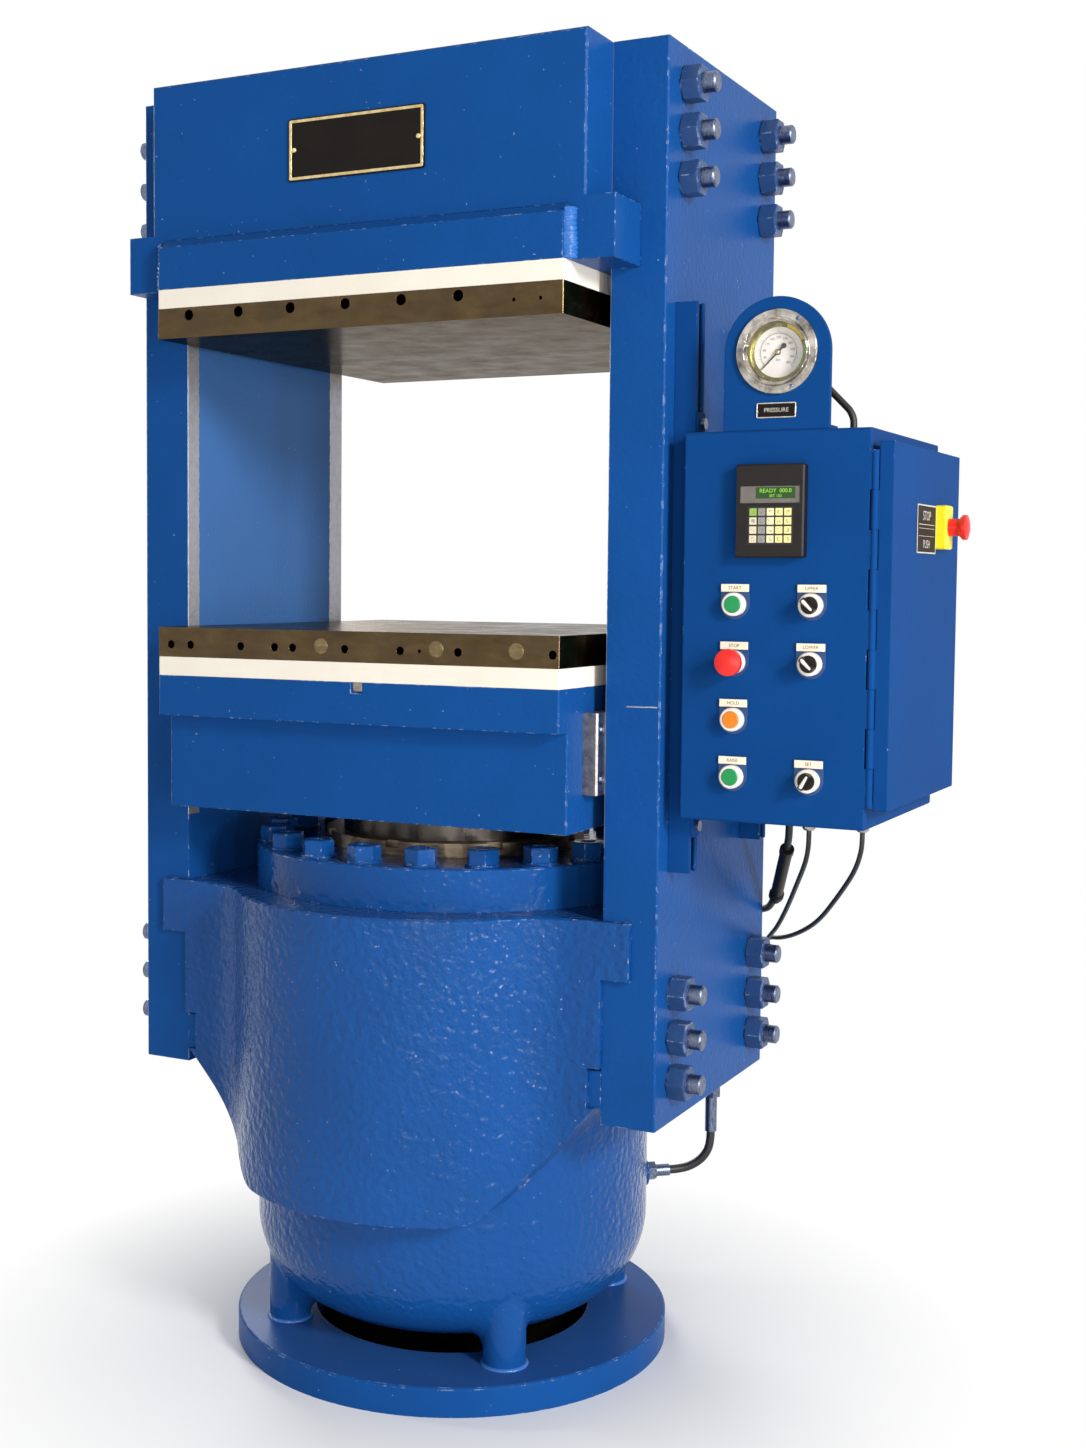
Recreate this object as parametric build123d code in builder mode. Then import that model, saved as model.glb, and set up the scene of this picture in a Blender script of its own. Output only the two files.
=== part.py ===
"""Up-stroke side-plate moulding press with a control cabinet, in millimetres.

The origin is on the ram's axis at floor level. +X points to the control cabinet,
-Y to the operator and +Z up.
"""
import os
from math import cos, pi, radians, sin, sqrt, tan

from build123d import *

os.makedirs("parts", exist_ok=True)

# Fits and cuts shared by all pieces
RUN_GAP = 0.3  # between curved or flat faces that slide on each other
PIN_GAP = 0.05  # radial play of a hinge pin
HOLE_GAP = 1.0  # radial play of a clearance hole
THREAD_GAP = 0.1  # radial play drawn between a screw and its tapped hole

# Frame: two side plates that tie the cylinder to the crown
PLATE_GAP = 814.0  # clear width between the side plates
PLATE_THICKNESS = 93.0
PLATE_DEPTH = 520.0
PLATE_BOTTOM = 500.0
PLATE_HEIGHT = 1714.0
PLATE_EDGE = 2.0
PLATE_IN = PLATE_GAP / 2
PLATE_OUT = PLATE_IN + PLATE_THICKNESS
PLATE_FRONT = -PLATE_DEPTH / 2
LUG_REACH = 49.0  # how far the cast lugs reach into the plates' notches
LUG_SEAT = 60.0  # how deep a lug sits behind the plate's front face

# Platens, insulation boards and daylight
PLATEN_WIDTH = 762.0
PLATEN_DEPTH = 762.0
PLATEN_THICKNESS = 51.0
BOARD_THICKNESS = 32.0
DAYLIGHT = 491.0
PLATEN_FRONT = -PLATEN_DEPTH / 2

# Moving bolster
BOLSTER_BOTTOM = 978.0
BOLSTER_BLOCK_HEIGHT = 161.0
BOLSTER_PLATE_HEIGHT = 69.0
BOLSTER_SETBACK = 33.0  # the lower block stands back from the plate above it
BOLSTER_STEP = BOLSTER_BOTTOM + BOLSTER_BLOCK_HEIGHT
BOLSTER_TOP = BOLSTER_STEP + BOLSTER_PLATE_HEIGHT
LOWER_PLATEN_BOTTOM = BOLSTER_TOP + BOARD_THICKNESS
LOWER_PLATEN_TOP = LOWER_PLATEN_BOTTOM + PLATEN_THICKNESS
UPPER_PLATEN_BOTTOM = LOWER_PLATEN_TOP + DAYLIGHT
UPPER_BOARD_BOTTOM = UPPER_PLATEN_BOTTOM + PLATEN_THICKNESS
CROWN_BOTTOM = UPPER_BOARD_BOTTOM + BOARD_THICKNESS

# Base ring and cylinder casting
RING_RADIUS = 393.0
RING_HOLE_RADIUS = 250.0
RING_THICKNESS = 50.0
RING_EDGE = 3.0
RAM_RADIUS = 203.0
BARREL_RADIUS = 356.0
CASTING_TOP = 832.0
DISH_BOTTOM = 40.0
DISH_RADIUS = 750.0
KNUCKLE_RADIUS = 165.0
BORE_FLOOR = 236.0
BORE_GAP = 5.0  # between the ram and the plain bore below the packing
STUFFING_RADIUS = 222.0
STUFFING_DEPTH = 112.0

# Tie studs through the side plates
STUD_RADIUS = 16.0
STUD_PITCH = 73.0
STUD_COLUMN = 190.0  # from the ram's axis, to the front and to the rear
STUD_GRIP = 80.0  # screwed length in the crown or the casting
STUD_PROUD = 55.0  # beyond the plate's outer face
STUD_END_EDGE = 2.5
NUT_ACROSS = 52.0
NUT_HEIGHT = 32.0
NUT_FACE_RADIUS = 25.5
NUT_FACE_HEIGHT = 2.0
NUT_EDGE = 1.6
UPPER_STUDS = 2081.0  # height of the middle stud
LOWER_STUDS = 640.0
STUD_HEIGHTS = (UPPER_STUDS, LOWER_STUDS)

# Control cabinet on the right side plate
RAIL_SIDE = 36.0
CABINET_BACK = PLATE_OUT + RAIL_SIDE
CABINET_LENGTH = 290.0  # from its back to its open side, along X
CABINET_DEPTH = 415.0
CABINET_HEIGHT = 600.0
CABINET_BOTTOM = 1006.0
CABINET_WALL = 2.5
CABINET_CORNER = 5.0
CABINET_FRONT = PLATE_FRONT
CABINET_REAR = CABINET_FRONT + CABINET_DEPTH
CABINET_SIDE = CABINET_BACK + CABINET_LENGTH
CABINET_TOP = CABINET_BOTTOM + CABINET_HEIGHT
CABINET_MIDDLE = (CABINET_FRONT + CABINET_REAR) / 2


def stud_spots(middle):
    """Places of one side's studs, as (Y, Z), about the height of the middle one."""
    return [
        (column, middle + row * STUD_PITCH)
        for column in (-STUD_COLUMN, STUD_COLUMN)
        for row in (-1, 0, 1)
    ]


def side_plane(x, facing):
    """A sketch plane across X, seen from outside: its local y is +Z, its local x runs with facing."""
    if facing > 0:
        return Plane(origin=(x, 0, 0), x_dir=(0, 1, 0), z_dir=(1, 0, 0))
    return Plane(origin=(x, 0, 0), x_dir=(0, -1, 0), z_dir=(-1, 0, 0))


def front_plane(x, y, z, turn):
    """A sketch plane facing the operator, with its local x turned up from +X by degrees."""
    way = radians(turn)
    return Plane(origin=(x, y, z), x_dir=(cos(way), 0, sin(way)), z_dir=(0, -1, 0))


# Base ring: flame-cut plate that spreads the press's weight on the floor
with BuildPart() as base_ring:
    with BuildSketch():
        Circle(RING_RADIUS)
        Circle(RING_HOLE_RADIUS, mode=Mode.SUBTRACT)
    extrude(amount=RING_THICKNESS)
    ring_rims = base_ring.edges().filter_by(GeomType.CIRCLE).group_by(Axis.Z)[-1]
    chamfer(ring_rims, length=RING_EDGE)
base_ring.part.label = "base_ring"
export_step(base_ring.part, "parts/base_ring.step")

# Cylinder: one casting with barrel, dished head, four feet, bulged aprons, wings and lugs
APRON_RADIUS = 350.0
APRON_CENTRE = 82.0  # the apron's arc is struck this far before the ram's axis
APRON_BLEND = 120.0
WING_PROUD = 10.0  # the wings stand out from the plates' front faces
WING_BOTTOM = 536.0
APRON_BOTTOM = 328.0
APRON_FLAT = 222.0  # half-width of the apron's level lower edge
APRON_CORNER = 70.0
APRON_RIM = 4.0
LUG_HEIGHT = 94.0
KEY_WIDTH = 22.0
KEY_HEIGHT = 66.0
KEY_BOTTOM = 526.0
KEY_DEPTH = 42.0
KEY_SETBACK = 9.0  # the keys stand back in their pockets
KEY_DROP = 5.0  # and stop short of the pockets' tops
FOOT_RADIUS = 37.0
FOOT_CIRCLE = 305.0
FOOT_COUNT = 4
FOOT_TURN = 45.0
FOOT_BLEND = 26.0
FOOT_ROOT = 240.0  # height up to which the feet run inside the head
PORT_HEIGHT = 262.0
PORT_TURN = 40.0
PORT_RADIUS = 13.0
PORT_BOSS_RADIUS = 26.0
PORT_BOSS_REACH = 372.0
GLAND_BOLT_COUNT = 20
GLAND_BOLT_CIRCLE = 325.0
GLAND_BOLT_RADIUS = 16.0
GLAND_BOLT_GRIP = 80.0
GLAND_BOLT_TURN = -90.0
WING_FRONT = PLATE_FRONT - WING_PROUD
LUG_DEPTH = WING_PROUD + LUG_SEAT
knuckle_across = BARREL_RADIUS - KNUCKLE_RADIUS
dish_rise = DISH_RADIUS - sqrt((DISH_RADIUS - KNUCKLE_RADIUS) ** 2 - knuckle_across**2)
knuckle_height = DISH_BOTTOM + dish_rise
dish_share = DISH_RADIUS / (DISH_RADIUS - KNUCKLE_RADIUS)
dish_centre = DISH_BOTTOM + DISH_RADIUS
blend_point = (knuckle_across * dish_share, dish_centre + (knuckle_height - dish_centre) * dish_share)

with BuildPart() as cylinder:
    with BuildSketch(Plane.XY.offset(APRON_BOTTOM)):
        Rectangle(PLATE_GAP, -2 * WING_FRONT)
        corners = vertices()
        with Locations((0, -APRON_CENTRE), (0, APRON_CENTRE)):
            Circle(APRON_RADIUS)
        fillet(vertices() - corners, radius=APRON_BLEND)
    extrude(amount=CASTING_TOP - APRON_BOTTOM)
    with BuildSketch(Plane.XZ):
        with BuildLine():
            Polyline(
                (PLATE_IN, CASTING_TOP),
                (PLATE_IN, WING_BOTTOM),
                (APRON_FLAT, APRON_BOTTOM),
                (-APRON_FLAT, APRON_BOTTOM),
                (-PLATE_IN, WING_BOTTOM),
                (-PLATE_IN, CASTING_TOP),
                close=True,
            )
        make_face()
        fillet(vertices().group_by(Axis.Y)[0], radius=APRON_CORNER)
    extrude(amount=APRON_CENTRE + APRON_RADIUS, both=True, mode=Mode.INTERSECT)
    front_rims = faces().sort_by(Axis.Z)[-1].edges()
    chamfer(front_rims.filter_by(GeomType.LINE, reverse=True), length=APRON_RIM)
    with BuildSketch(Plane.XZ):
        with BuildLine():
            Polyline((0, DISH_BOTTOM), (0, CASTING_TOP), (BARREL_RADIUS, CASTING_TOP),
                     (BARREL_RADIUS, knuckle_height))
            TangentArc((BARREL_RADIUS, knuckle_height), blend_point, tangent=(0, -1))
            ThreePointArc(
                blend_point,
                (blend_point[0] / 2, dish_centre - sqrt(DISH_RADIUS**2 - (blend_point[0] / 2) ** 2)),
                (0, DISH_BOTTOM),
            )
        make_face()
    revolve(axis=Axis.Z)
    head_edges = edges()
    with BuildSketch(Plane.XY.offset(RING_THICKNESS)):
        with PolarLocations(FOOT_CIRCLE, FOOT_COUNT, start_angle=FOOT_TURN):
            Circle(FOOT_RADIUS)
    extrude(amount=FOOT_ROOT - RING_THICKNESS)
    foot_roots = (edges() - head_edges).filter_by(GeomType.CIRCLE, reverse=True)
    fillet(foot_roots.filter_by(GeomType.LINE, reverse=True), radius=FOOT_BLEND)
    with BuildSketch(Plane.XY.offset(CASTING_TOP)):
        for front in (-1, 1):
            lug_middle = front * (-WING_FRONT - LUG_DEPTH / 2)
            with Locations((-PLATE_IN, lug_middle), (PLATE_IN, lug_middle)):
                Rectangle(2 * LUG_REACH, LUG_DEPTH)
    extrude(amount=-LUG_HEIGHT)
    with BuildSketch(Plane.XY.offset(KEY_BOTTOM)):
        for front in (-1, 1):
            key_middle = front * (-WING_FRONT - KEY_DEPTH / 2)
            with Locations((-PLATE_IN, key_middle), (PLATE_IN, key_middle)):
                Rectangle(2 * KEY_WIDTH, KEY_DEPTH)
    extrude(amount=KEY_HEIGHT, mode=Mode.SUBTRACT)
    port_plane = Plane(Location((0, 0, PORT_HEIGHT), (0, 0, PORT_TURN))) * Plane.YZ
    with BuildSketch(port_plane):
        Circle(PORT_BOSS_RADIUS)
    extrude(amount=PORT_BOSS_REACH)
    with Locations((0, 0, CASTING_TOP)):
        CounterBoreHole(
            RAM_RADIUS + BORE_GAP, STUFFING_RADIUS, STUFFING_DEPTH, depth=CASTING_TOP - BORE_FLOOR
        )
    with BuildSketch(port_plane):
        Circle(PORT_RADIUS)
    extrude(amount=PORT_BOSS_REACH, mode=Mode.SUBTRACT)
    with BuildSketch(Plane.XY.offset(CASTING_TOP)):
        with PolarLocations(GLAND_BOLT_CIRCLE, GLAND_BOLT_COUNT, start_angle=GLAND_BOLT_TURN):
            Circle(GLAND_BOLT_RADIUS + THREAD_GAP)
    extrude(amount=-GLAND_BOLT_GRIP - THREAD_GAP, mode=Mode.SUBTRACT)
    for facing in (-1, 1):
        with BuildSketch(side_plane(facing * PLATE_IN, facing)):
            with Locations(*stud_spots(LOWER_STUDS)):
                Circle(STUD_RADIUS + THREAD_GAP)
        extrude(amount=-STUD_GRIP - THREAD_GAP, mode=Mode.SUBTRACT)
cylinder.part.label = "cylinder"
export_step(cylinder.part, "parts/cylinder.step")

# Keys that lock the casting's wings sideways between the plates
with BuildPart() as frame_keys:
    with BuildSketch(Plane.XY.offset(KEY_BOTTOM)):
        for front in (-1, 1):
            key_middle = front * (-WING_FRONT - (KEY_DEPTH + KEY_SETBACK) / 2)
            for side in (-1, 1):
                with Locations((side * (PLATE_IN - KEY_WIDTH / 2), key_middle)):
                    Rectangle(KEY_WIDTH, KEY_DEPTH - KEY_SETBACK)
    extrude(amount=KEY_HEIGHT - KEY_DROP)
frame_keys.part.label = "frame_keys"
export_step(frame_keys.part, "parts/frame_keys.step")

# Gland ring: thick blue flange that holds the bush and squeezes the packing
GLAND_RADIUS = 360.0
GLAND_THICKNESS = 72.0
GLAND_EDGE = 3.0
GLAND_TOP = CASTING_TOP + GLAND_THICKNESS
with BuildPart() as gland_ring:
    with BuildSketch(Plane.XY.offset(CASTING_TOP)):
        Circle(GLAND_RADIUS)
        Circle(STUFFING_RADIUS, mode=Mode.SUBTRACT)
        with PolarLocations(GLAND_BOLT_CIRCLE, GLAND_BOLT_COUNT, start_angle=GLAND_BOLT_TURN):
            Circle(GLAND_BOLT_RADIUS + HOLE_GAP, mode=Mode.SUBTRACT)
    extrude(amount=GLAND_THICKNESS)
    gland_rims = edges().filter_by(GeomType.CIRCLE).group_by(Axis.Z)[-1]
    chamfer(gland_rims.sort_by(SortBy.RADIUS)[-1], length=GLAND_EDGE)
gland_ring.part.label = "gland_ring"
export_step(gland_ring.part, "parts/gland_ring.step")

# Gland bolts: hexagon heads on a round flange, with a shallow cup in the head
BOLT_FLANGE_RADIUS = 30.0
BOLT_FLANGE_HEIGHT = 4.0
BOLT_HEAD_ACROSS = 50.0
BOLT_HEAD_HEIGHT = 26.0
BOLT_HEAD_EDGE = 2.0
BOLT_CUP_RADIUS = 13.0
BOLT_CUP_DEPTH = 3.0
bolt_head_top = GLAND_TOP + BOLT_FLANGE_HEIGHT + BOLT_HEAD_HEIGHT
gland_bolt_spots = PolarLocations(GLAND_BOLT_CIRCLE, GLAND_BOLT_COUNT, start_angle=GLAND_BOLT_TURN)
with BuildPart() as gland_bolts:
    with BuildSketch(Plane.XY.offset(GLAND_TOP)):
        with gland_bolt_spots:
            Circle(BOLT_FLANGE_RADIUS)
    extrude(amount=BOLT_FLANGE_HEIGHT)
    with BuildSketch(Plane.XY.offset(GLAND_TOP + BOLT_FLANGE_HEIGHT)):
        with gland_bolt_spots:
            RegularPolygon(BOLT_HEAD_ACROSS / 2, side_count=6, major_radius=False)
    extrude(amount=BOLT_HEAD_HEIGHT)
    chamfer(edges().group_by(Axis.Z)[-1], length=BOLT_HEAD_EDGE)
    with BuildSketch(Plane.XY.offset(bolt_head_top)):
        with gland_bolt_spots:
            Circle(BOLT_CUP_RADIUS)
    extrude(amount=-BOLT_CUP_DEPTH, mode=Mode.SUBTRACT)
    with BuildSketch(Plane.XY.offset(GLAND_TOP)):
        with gland_bolt_spots:
            Circle(GLAND_BOLT_RADIUS)
    extrude(amount=-GLAND_THICKNESS - GLAND_BOLT_GRIP)
gland_bolts.part.label = "gland_bolts"
export_step(gland_bolts.part, "parts/gland_bolts.step")

# Gland bush: bronze sleeve that guides the ram, with a notched collar on the gland ring
BUSH_COLLAR_RADIUS = 234.0
BUSH_COLLAR_HEIGHT = 24.0
BUSH_REACH = 32.0  # below the casting's top, down to the packing
BUSH_NOTCH_COUNT = 8
BUSH_NOTCH_WIDTH = 26.0
BUSH_NOTCH_DEPTH = 11.0
bush_inside = RAM_RADIUS + RUN_GAP
bush_outside = STUFFING_RADIUS - RUN_GAP
with BuildPart() as gland_bush:
    with BuildSketch(Plane.XY.offset(CASTING_TOP - BUSH_REACH)):
        Circle(bush_outside)
    extrude(amount=BUSH_REACH + GLAND_THICKNESS)
    with BuildSketch(Plane.XY.offset(GLAND_TOP)):
        Circle(BUSH_COLLAR_RADIUS)
    extrude(amount=BUSH_COLLAR_HEIGHT)
    with BuildSketch(Plane.XY.offset(GLAND_TOP + BUSH_COLLAR_HEIGHT)):
        with PolarLocations(BUSH_COLLAR_RADIUS, BUSH_NOTCH_COUNT):
            Rectangle(BUSH_NOTCH_WIDTH, BUSH_NOTCH_WIDTH)
    extrude(amount=-BUSH_NOTCH_DEPTH, mode=Mode.SUBTRACT)
    with Locations((0, 0, GLAND_TOP + BUSH_COLLAR_HEIGHT)):
        Hole(bush_inside)
gland_bush.part.label = "gland_bush"
export_step(gland_bush.part, "parts/gland_bush.step")

# Ram packing: a stack of vee rings, drawn as one grooved sleeve under the bush
PACKING_RINGS = 5
PACKING_GROOVE = 3.0
packing_height = STUFFING_DEPTH - BUSH_REACH
packing_pitch = packing_height / PACKING_RINGS
with BuildPart() as ram_packing:
    with BuildSketch(Plane.XY.offset(CASTING_TOP - STUFFING_DEPTH)):
        Circle(bush_outside)
        Circle(bush_inside, mode=Mode.SUBTRACT)
    extrude(amount=packing_height)
    with BuildSketch(Plane.XZ):
        for ring in range(1, PACKING_RINGS):
            with Locations((bush_inside, CASTING_TOP - STUFFING_DEPTH + ring * packing_pitch)):
                Rectangle(2 * PACKING_GROOVE, PACKING_GROOVE)
    revolve(axis=Axis.Z, mode=Mode.SUBTRACT)
ram_packing.part.label = "ram_packing"
export_step(ram_packing.part, "parts/ram_packing.step")

# Crown: solid block between the plates, with lugs that reach round their front and rear edges
CROWN_PROUD = 100.0  # the crown stands out from the plates' front faces
CROWN_HEIGHT = 348.0
CROWN_EDGE = 3.0
CROWN_LUG_HEIGHT = 96.0
CROWN_FRONT = PLATE_FRONT - CROWN_PROUD
CROWN_LUG_DEPTH = CROWN_PROUD + LUG_SEAT
with BuildPart() as crown:
    with BuildSketch(Plane.XY.offset(CROWN_BOTTOM)):
        Rectangle(PLATE_GAP, -2 * CROWN_FRONT)
    extrude(amount=CROWN_HEIGHT)
    front_edges = edges().filter_by(Axis.X) + edges().filter_by(Axis.Z)
    chamfer(front_edges, length=CROWN_EDGE)
    with BuildSketch(Plane.XY.offset(CROWN_BOTTOM)):
        for front in (-1, 1):
            crown_lug_middle = front * (-CROWN_FRONT - CROWN_LUG_DEPTH / 2)
            with Locations((-PLATE_IN, crown_lug_middle), (PLATE_IN, crown_lug_middle)):
                Rectangle(2 * LUG_REACH, CROWN_LUG_DEPTH)
    extrude(amount=CROWN_LUG_HEIGHT)
    for facing in (-1, 1):
        with BuildSketch(side_plane(facing * PLATE_IN, facing)):
            with Locations(*stud_spots(UPPER_STUDS)):
                Circle(STUD_RADIUS + THREAD_GAP)
        extrude(amount=-STUD_GRIP - THREAD_GAP, mode=Mode.SUBTRACT)
crown.part.label = "crown"
export_step(crown.part, "parts/crown.step")

# Crown front bar: flat welded along the crown's lower front edge, with its fillet welds
BAR_WIDTH = 757.0
BAR_HEIGHT = 72.0
BAR_WELD = 15.0
bar_top = CROWN_BOTTOM + BAR_HEIGHT
with BuildPart() as crown_front_bar:
    with BuildSketch(Plane.XY.offset(CROWN_BOTTOM)):
        with BuildLine():
            Polyline(
                (-BAR_WIDTH / 2 - BAR_WELD, CROWN_FRONT),
                (-BAR_WIDTH / 2, CROWN_FRONT - BAR_WELD),
                (-BAR_WIDTH / 2, PLATEN_FRONT),
                (BAR_WIDTH / 2, PLATEN_FRONT),
                (BAR_WIDTH / 2, CROWN_FRONT - BAR_WELD),
                (BAR_WIDTH / 2 + BAR_WELD, CROWN_FRONT),
                close=True,
            )
        make_face()
    extrude(amount=BAR_HEIGHT)
    with BuildSketch(Plane.YZ.offset(-BAR_WIDTH / 2)):
        with BuildLine():
            Polyline(
                (CROWN_FRONT, bar_top),
                (CROWN_FRONT - BAR_WELD, bar_top),
                (CROWN_FRONT, bar_top + BAR_WELD),
                close=True,
            )
        make_face()
    extrude(amount=BAR_WIDTH)
crown_front_bar.part.label = "crown_front_bar"
export_step(crown_front_bar.part, "parts/crown_front_bar.step")

# Side plates: rolled slabs, notched front and rear for the lugs and drilled for the studs
with BuildPart() as right_side_plate:
    with BuildSketch(Plane.XY.offset(PLATE_BOTTOM)):
        with Locations((PLATE_IN + PLATE_THICKNESS / 2, 0)):
            Rectangle(PLATE_THICKNESS, PLATE_DEPTH)
    extrude(amount=PLATE_HEIGHT)
    chamfer(edges().filter_by(Axis.Z).sort_by(Axis.X)[-2:], length=PLATE_EDGE)
    for notch_bottom, notch_height in (
        (CASTING_TOP - LUG_HEIGHT, LUG_HEIGHT),
        (CROWN_BOTTOM, CROWN_LUG_HEIGHT),
    ):
        with BuildSketch(Plane.XY.offset(notch_bottom)):
            with Locations((PLATE_IN, PLATE_FRONT), (PLATE_IN, -PLATE_FRONT)):
                Rectangle(2 * LUG_REACH, 2 * LUG_SEAT)
        extrude(amount=notch_height, mode=Mode.SUBTRACT)
    with BuildSketch(side_plane(PLATE_OUT, 1)):
        for middle in STUD_HEIGHTS:
            with Locations(*stud_spots(middle)):
                Circle(STUD_RADIUS + HOLE_GAP)
    extrude(amount=-PLATE_THICKNESS, mode=Mode.SUBTRACT)
right_side_plate.part.label = "right_side_plate"
export_step(right_side_plate.part, "parts/right_side_plate.step")

with BuildPart() as left_side_plate:
    mirror(right_side_plate.part, about=Plane.YZ)
left_side_plate.part.label = "left_side_plate"
export_step(left_side_plate.part, "parts/left_side_plate.step")

# Tie studs and their heavy hexagon nuts, on the outside of both plates
with BuildPart() as tie_studs:
    for facing in (-1, 1):
        with BuildSketch(side_plane(facing * (PLATE_OUT + STUD_PROUD), facing)):
            for middle in STUD_HEIGHTS:
                with Locations(*stud_spots(middle)):
                    Circle(STUD_RADIUS)
        extrude(amount=-STUD_PROUD - PLATE_THICKNESS - STUD_GRIP)
    outer_ends = edges().filter_by(GeomType.CIRCLE).group_by(Axis.X)
    chamfer(outer_ends[0] + outer_ends[-1], length=STUD_END_EDGE)
tie_studs.part.label = "tie_studs"
export_step(tie_studs.part, "parts/tie_studs.step")

with BuildPart() as tie_nuts:
    for facing in (-1, 1):
        with BuildSketch(side_plane(facing * PLATE_OUT, facing)):
            for middle in STUD_HEIGHTS:
                with Locations(*stud_spots(middle)):
                    Circle(NUT_FACE_RADIUS)
        extrude(amount=NUT_FACE_HEIGHT)
        with BuildSketch(side_plane(facing * (PLATE_OUT + NUT_FACE_HEIGHT), facing)):
            for middle in STUD_HEIGHTS:
                with Locations(*stud_spots(middle)):
                    RegularPolygon(NUT_ACROSS / 2, side_count=6, major_radius=False)
        extrude(amount=NUT_HEIGHT - NUT_FACE_HEIGHT)
    nut_ends = edges().filter_by(GeomType.LINE).group_by(Axis.X)
    chamfer(nut_ends[0] + nut_ends[-1], length=NUT_EDGE)
    for facing in (-1, 1):
        with BuildSketch(side_plane(facing * (PLATE_OUT + NUT_HEIGHT), facing)):
            for middle in STUD_HEIGHTS:
                with Locations(*stud_spots(middle)):
                    Circle(STUD_RADIUS + THREAD_GAP)
        extrude(amount=-NUT_HEIGHT, mode=Mode.SUBTRACT)
tie_nuts.part.label = "tie_nuts"
export_step(tie_nuts.part, "parts/tie_nuts.step")

# Insulation boards and platens, with the tapped ends of their heating channels
BOARD_EDGE = 2.0
PLATEN_EDGE = 1.0
UPPER_CHANNEL_RADIUS = 9.0
LOWER_CHANNEL_RADIUS = 7.0
CHANNEL_DEPTH = 60.0
PIN_HOLE_RADIUS = 3.0
PIN_HOLE_DEPTH = 20.0
# places across the half-width, from the left end to the right end
UPPER_CHANNEL_SHARES = (-0.83, -0.565, -0.295, -0.018, 0.255, 0.525)
LOWER_CHANNEL_SHARES = (-0.93, -0.823, -0.552, -0.373, -0.279, -0.014, 0.26, 0.536, 0.8, 0.97)
LOWER_PIN_SHARES = (0.353,)
UPPER_PIN_SHARES = (0.78, 0.9)
CHANNEL_HEIGHT_SHARE = 0.42  # of the platen's thickness
UPPER_CHANNEL_HEIGHT_SHARE = 0.74


def front_spots(shares, height):
    """Places on a platen's front face, as (X, Z), for shares of its half-width."""
    return [(share * PLATEN_WIDTH / 2, height) for share in shares]


with BuildPart() as upper_insulation:
    with BuildSketch(Plane.XY.offset(UPPER_BOARD_BOTTOM)):
        Rectangle(PLATEN_WIDTH, PLATEN_DEPTH)
    extrude(amount=BOARD_THICKNESS)
    chamfer(edges().filter_by(Axis.Z), length=BOARD_EDGE)
upper_insulation.part.label = "upper_insulation"
export_step(upper_insulation.part, "parts/upper_insulation.step")

upper_channels = UPPER_PLATEN_BOTTOM + UPPER_CHANNEL_HEIGHT_SHARE * PLATEN_THICKNESS
with BuildPart() as upper_platen:
    with BuildSketch(Plane.XY.offset(UPPER_PLATEN_BOTTOM)):
        Rectangle(PLATEN_WIDTH, PLATEN_DEPTH)
    extrude(amount=PLATEN_THICKNESS)
    chamfer(edges().filter_by(Axis.Z), length=PLATEN_EDGE)
    with BuildSketch(Plane.XZ.offset(-PLATEN_FRONT)):
        with Locations(*front_spots(UPPER_CHANNEL_SHARES, upper_channels)):
            Circle(UPPER_CHANNEL_RADIUS)
    extrude(amount=-CHANNEL_DEPTH, mode=Mode.SUBTRACT)
    with BuildSketch(Plane.XZ.offset(-PLATEN_FRONT)):
        with Locations(*front_spots(UPPER_PIN_SHARES, UPPER_PLATEN_BOTTOM + PLATEN_THICKNESS / 2)):
            Circle(PIN_HOLE_RADIUS)
    extrude(amount=-PIN_HOLE_DEPTH, mode=Mode.SUBTRACT)
upper_platen.part.label = "upper_platen"
export_step(upper_platen.part, "parts/upper_platen.step")

with BuildPart() as lower_insulation:
    with BuildSketch(Plane.XY.offset(BOLSTER_TOP)):
        Rectangle(PLATEN_WIDTH, PLATEN_DEPTH)
    extrude(amount=BOARD_THICKNESS)
    chamfer(edges().filter_by(Axis.Z), length=BOARD_EDGE)
lower_insulation.part.label = "lower_insulation"
export_step(lower_insulation.part, "parts/lower_insulation.step")

lower_channels = LOWER_PLATEN_BOTTOM + CHANNEL_HEIGHT_SHARE * PLATEN_THICKNESS
with BuildPart() as lower_platen:
    with BuildSketch(Plane.XY.offset(LOWER_PLATEN_BOTTOM)):
        Rectangle(PLATEN_WIDTH, PLATEN_DEPTH)
    extrude(amount=PLATEN_THICKNESS)
    chamfer(edges().filter_by(Axis.Z), length=PLATEN_EDGE)
    with BuildSketch(Plane.XZ.offset(-PLATEN_FRONT)):
        with Locations(*front_spots(LOWER_CHANNEL_SHARES, lower_channels)):
            Circle(LOWER_CHANNEL_RADIUS)
    extrude(amount=-CHANNEL_DEPTH, mode=Mode.SUBTRACT)
    with BuildSketch(Plane.XZ.offset(-PLATEN_FRONT)):
        with Locations(*front_spots(LOWER_PIN_SHARES, lower_channels)):
            Circle(PIN_HOLE_RADIUS)
    extrude(amount=-PIN_HOLE_DEPTH, mode=Mode.SUBTRACT)
lower_platen.part.label = "lower_platen"
export_step(lower_platen.part, "parts/lower_platen.step")

# Ram: solid plunger with a chamfered foot, standing on the bore's floor
RAM_FOOT_EDGE = 30.0
ram_bottom = BORE_FLOOR + RUN_GAP
with BuildPart() as ram:
    with BuildSketch(Plane.XY.offset(ram_bottom)):
        Circle(RAM_RADIUS)
    extrude(amount=BOLSTER_BOTTOM - ram_bottom)
    chamfer(edges().filter_by(GeomType.CIRCLE).sort_by(Axis.Z)[0], length=RAM_FOOT_EDGE)
ram.part.label = "ram"
export_step(ram.part, "parts/ram.step")

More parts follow.
